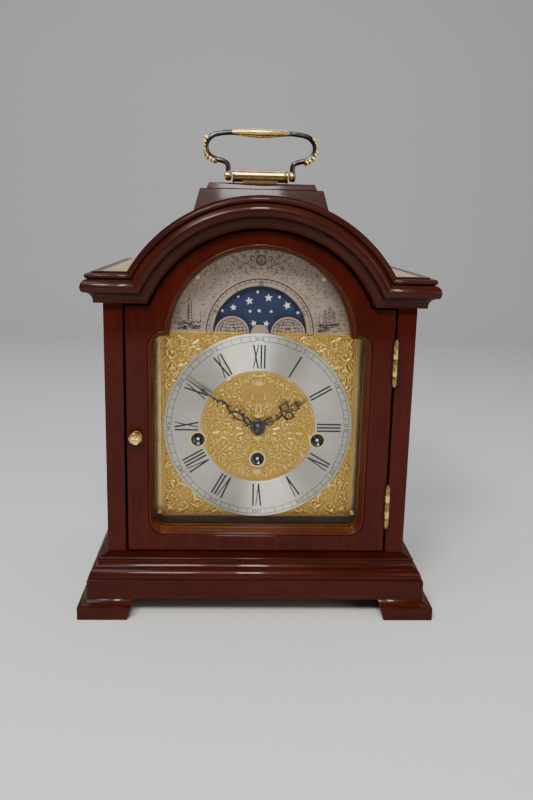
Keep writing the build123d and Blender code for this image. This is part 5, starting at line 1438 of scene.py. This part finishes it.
def handle():
    """Cast bail: dark arms, a gilt grip, gilt leaves on the bends and gilt eyes."""
    route = [(-x, z) for x, z in HANDLE_HALF] + list(HANDLE_HALF[-2::-1])
    curve = smooth_path(route, 9)
    path = [Vector((x * MM, HANDLE_Y, z * MM)) for x, z in curve]
    radii, gilts = [], []
    for x, z in curve:
        swell = max(1 - abs(x) / GRIP_HALF, 0) if z > 365 else 0
        radii.append((ARM_R + (GRIP_R - ARM_R) * sin(pi / 2 * swell) ** 1.2) * MM)
        gilts.append(min(swell * 4, 1.0))
    bail = Shape()
    bail.tube(path, radii, 20, gilts)
    for side in (-1, 1):
        profile = [(side * a * MM, r * MM) for a, r in EYE_PROFILE]
        bail.turned((side * EYE_X * MM, HANDLE_Y, HANDLE_Z), profile, "x", 32, gilt=0.8)
        bend = []
        for point, (x, z) in zip(path, curve):
            if (x * side > 34 and z < 362.5) or (x * side > 40 and z < 366):
                bend.append(point)
        if side < 0:
            bend.reverse()
        leaf_ring(bail, bend, side)
    made = bail.piece("handle_bail_cast", HANDLE_METAL, "handle_bail", "handle_metal")
    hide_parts("handle_bail")


def leaf_ring(shape, bend, side):
    """Overlapping leaves that clasp the outside of a bend."""
    count = 8
    for k in range(count):
        share = (k + 0.3) / count
        i = int(share * (len(bend) - 4))
        root, ahead = bend[i], bend[min(i + 3, len(bend) - 1)]
        run = (ahead - root).normalized()
        out = Vector((-run.z, 0, run.x))
        if out.dot(root - Vector((side * 36 * MM, HANDLE_Y, 359 * MM))) < 0:
            out = -out
        for turn in (-1.0, 0.0, 1.0):
            lean = (out * cos(turn) + Vector((0, 1, 0)) * sin(turn)).normalized()
            length = (6.4 if turn == 0.0 else 5.2) * MM
            points = []
            for t in (0.0, 0.25, 0.5, 0.75, 1.0):
                lift = (1.15 + 1.75 * sin(pi * (0.12 + 0.60 * t))) * MM
                points.append(root - run * (0.3 - t) * length + lean * lift)
            radii = [r * MM for r in (0.35, 1.15, 1.35, 1.05, 0.2)]
            start = len(shape.verts)
            shape.tube(points, radii, 8, [1.0] * 5)
            for index in range(start, len(shape.verts)):
                x, y, z = shape.verts[index]
                shape.verts[index] = (max(min(x, BAIL_HIGH.x), BAIL_LOW.x), y, min(z, BAIL_HIGH.z))


def handle_barrel():
    """The worn brass barrel that the handle turns on, with a flange at each end."""
    half = BARREL_HIGH.x / MM
    flange = ((0.0, 2.0), (0.0, 5.2), (0.3, 5.5), (1.3, 5.5), (1.6, 5.15), (1.9, 4.85))
    profile = [(-half + a, r) for a, r in flange]
    profile += [(x, 4.92 + 0.05 * cos(x / 3.1)) for x in np.linspace(-half + 2.6, half - 2.6, 28)]
    profile += [(-a, r) for a, r in reversed(profile[:6])]
    rng = np.random.default_rng(9)
    dents = [(rng.uniform(-19, 19), rng.uniform(0, 2 * pi), rng.uniform(0.6, 1.8))
             for _ in range(16)]

    def dented(along, radius, angle):
        r = radius
        for at, around, size in dents:
            gap = atan2(sin(angle - around), cos(angle - around)) * 5
            r -= 0.06 * MM * np.exp(-(((along / MM - at) ** 2 + gap ** 2) / size ** 2))
        return (r if radius < 5.0 * MM else radius), 0.0

    barrel = Shape()
    barrel.turned((0, HANDLE_Y, HANDLE_Z), [(a * MM, r * MM) for a, r in profile], "x", 64, dented)
    rings = []
    for z, grow in ((BARREL_LOW.z, 0.5), (BARREL_LOW.z + 0.5 * MM, 0.0), (HANDLE_Z - 2.0 * MM, 0.0)):
        across, along = (14.0 + grow) * MM, (3.2 + grow) * MM
        corners = ((-across, -along), (across, -along), (across, along), (-across, along))
        rings.append([(x, HANDLE_Y + y, z) for x, y in corners])
    barrel.rings(rings)
    made = barrel.piece("handle_barrel_turned", GILT, "case", "handle_metal")
    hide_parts("handle_barrel")


relief_piece()
roman_numerals()
minute_track()
minute_figures()
lunar_scale()
globe_lines()
filigree()
crown_and_scenes()
stars_and_moons()
minute_hand()
hour_hand()
winding_hole_shade_sleeves()
sight_moulding()
door_knob()
handle()
handle_barrel()

LOOKS = {
    MAHOGANY["door"]: ("door_frame", "side_panels"),
    MAHOGANY["sight"]: ("door_sight_mouldings",),
    MAHOGANY["base"]: ("base_moulding", "bracket_feet"),
    MAHOGANY["side"]: ("front_arch_board",),
    MAHOGANY["arc"]: ("arch_moulding",),
    MAHOGANY["top"]: ("cornice_mouldings", "pedestal_block", "pedestal_cap"),
    MAHOGANY["roof"]: ("arched_roof",),
    RAW: ("shoulder_boards", "seat_board"),
    STAINED: ("back_frame", "rear_door", "bottom_board", "dial_surround"),
    BLACK_WOOD: ("gong_block",),
    GLASS: ("door_glass",),
    PLATE_BRASS: ("dial_plate",),
    RING_SILVER: ("chapter_ring",),
    ARCH_SILVER: ("moon_arch_plate",),
    MOON_BLUE: ("moon_disc",),
    BLACK_STEEL: ("hour_hand", "minute_hand"),
    GUNMETAL: ("handle_bail",),
    GILT: ("handle_barrel",),
    SCREW_BRASS: ("dial_screws", "winding_grommets"),
    AGED_BRASS: ("hinge_case_leaves",),
    ARBOR_STEEL: ("time_winding_arbor", "strike_winding_arbor", "chime_winding_arbor"),
}
DEFAULT_LOOKS = {"brass": BRASS, "dial_brass": PLATE_BRASS, "steel": STEEL, "cast_iron": IRON,
                 "black_steel": BLACK_STEEL, "handle_metal": GUNMETAL, "mahogany": MAHOGANY["side"],
                 "raw_wood": RAW, "back_wood": STAINED, "black_wood": BLACK_WOOD, "glass": GLASS,
                 "ring_silver": RING_SILVER, "arch_silver": ARCH_SILVER, "moon_blue": MOON_BLUE}
SLOT_OF = {part["node"]: part["material_slot"] for part in frame["record"]["subparts"]}


def dress(node, material):
    mesh = NODES[node].data
    mesh.materials.clear()
    mesh.materials.append(material)


for node in NODES:
    dress(node, DEFAULT_LOOKS.get(SLOT_OF.get(node), BRASS))
for material, names in LOOKS.items():
    for node in names:
        dress(node, material)


def soften(node, width):
    """Weld the flat facets together and round the edges a little."""
    piece = NODES[node]
    weld = piece.modifiers.new("weld", "WELD")
    weld.merge_threshold = 0.00001
    bevel = piece.modifiers.new("bevel", "BEVEL")
    bevel.width = width
    bevel.segments = 2
    bevel.limit_method = "ANGLE"
    bevel.angle_limit = radians(32)
    bevel.use_clamp_overlap = True


for node in ("hinge_case_leaves", "door_hinge_door_leaves", "rear_hinge_door_leaves"):
    soften(node, 0.0005)
for node in ("door_frame", "base_moulding", "bracket_feet", "side_panels", "cornice_mouldings",
             "pedestal_block", "pedestal_cap", "arched_roof", "arch_moulding", "rear_door", "back_frame",
             "chapter_ring"):
    soften(node, 0.0004)


# ---------------------------------------------------------------- stage and light
def area_light(name, place, aim, size, power, colour=(1, 1, 1)):
    data = bpy.data.lights.new(name, "AREA")
    data.shape = "RECTANGLE"
    data.size, data.size_y = size
    data.energy = power
    data.color = colour
    light = bpy.data.objects.new(name, data)
    light.location = place
    light.rotation_euler = (Vector(aim) - Vector(place)).to_track_quat("-Z", "Y").to_euler()
    bpy.context.scene.collection.objects.link(light)


def make_stage():
    """A pale sweep that rises behind the clock."""
    profile = [(-1.6, 0.0)] + arc_points((1.4, 0.8), 0.8, -pi / 2, 0.0, 13) + [(2.2, 3.0)]
    verts = [(x, y, z) for y, z in profile for x in (-4.0, 4.0)]
    faces = [(2 * i, 2 * i + 1, 2 * i + 3, 2 * i + 2) for i in range(len(profile) - 1)]
    mesh = bpy.data.meshes.new("sweep")
    mesh.from_pydata(verts, [], faces)
    for polygon in mesh.polygons:
        polygon.use_smooth = True
    sweep = bpy.data.objects.new("sweep", mesh)
    bpy.context.scene.collection.objects.link(sweep)
    look = Look("pale_paper")
    fine = look.noise(look.place(), 300, 3, 0.5)
    look.colour(look.ramp(fine, (0.3, (0.70, 0.69, 0.67)), (0.7, (0.74, 0.73, 0.71))))
    look.rough(fine, 0.7, 0.85)
    mesh.materials.append(look.material)


def make_light():
    world = bpy.data.worlds.new("studio")
    world.use_nodes = True
    sky = world.node_tree.nodes["Background"]
    sky.inputs["Color"].default_value = (0.60, 0.62, 0.66, 1)
    sky.inputs["Strength"].default_value = 0.22
    bpy.context.scene.world = world
    area_light("key", (-0.55, -1.35, 1.45), (0, 0, 0.2), (0.45, 0.45), 24, (1.0, 0.94, 0.86))
    area_light("above", (0.02, -1.25, 1.35), (0, -0.05, 0.2), (0.16, 0.5), 14, (1.0, 0.99, 0.98))
    area_light("window", (-0.75, -0.55, 1.7), (0, 0, 0.2), (0.5, 0.5), 8, (0.66, 0.81, 1.0))
    area_light("fill", (1.3, -1.2, 0.7), (0, 0, 0.2), (0.9, 1.0), 7, (1.0, 0.93, 0.84))
    area_light("top", (0.0, 0.4, 1.7), (0, 0, 0.2), (1.4, 0.6), 8, (0.74, 0.84, 1.0))


make_stage()
make_light()
bpy.context.view_layer.update()
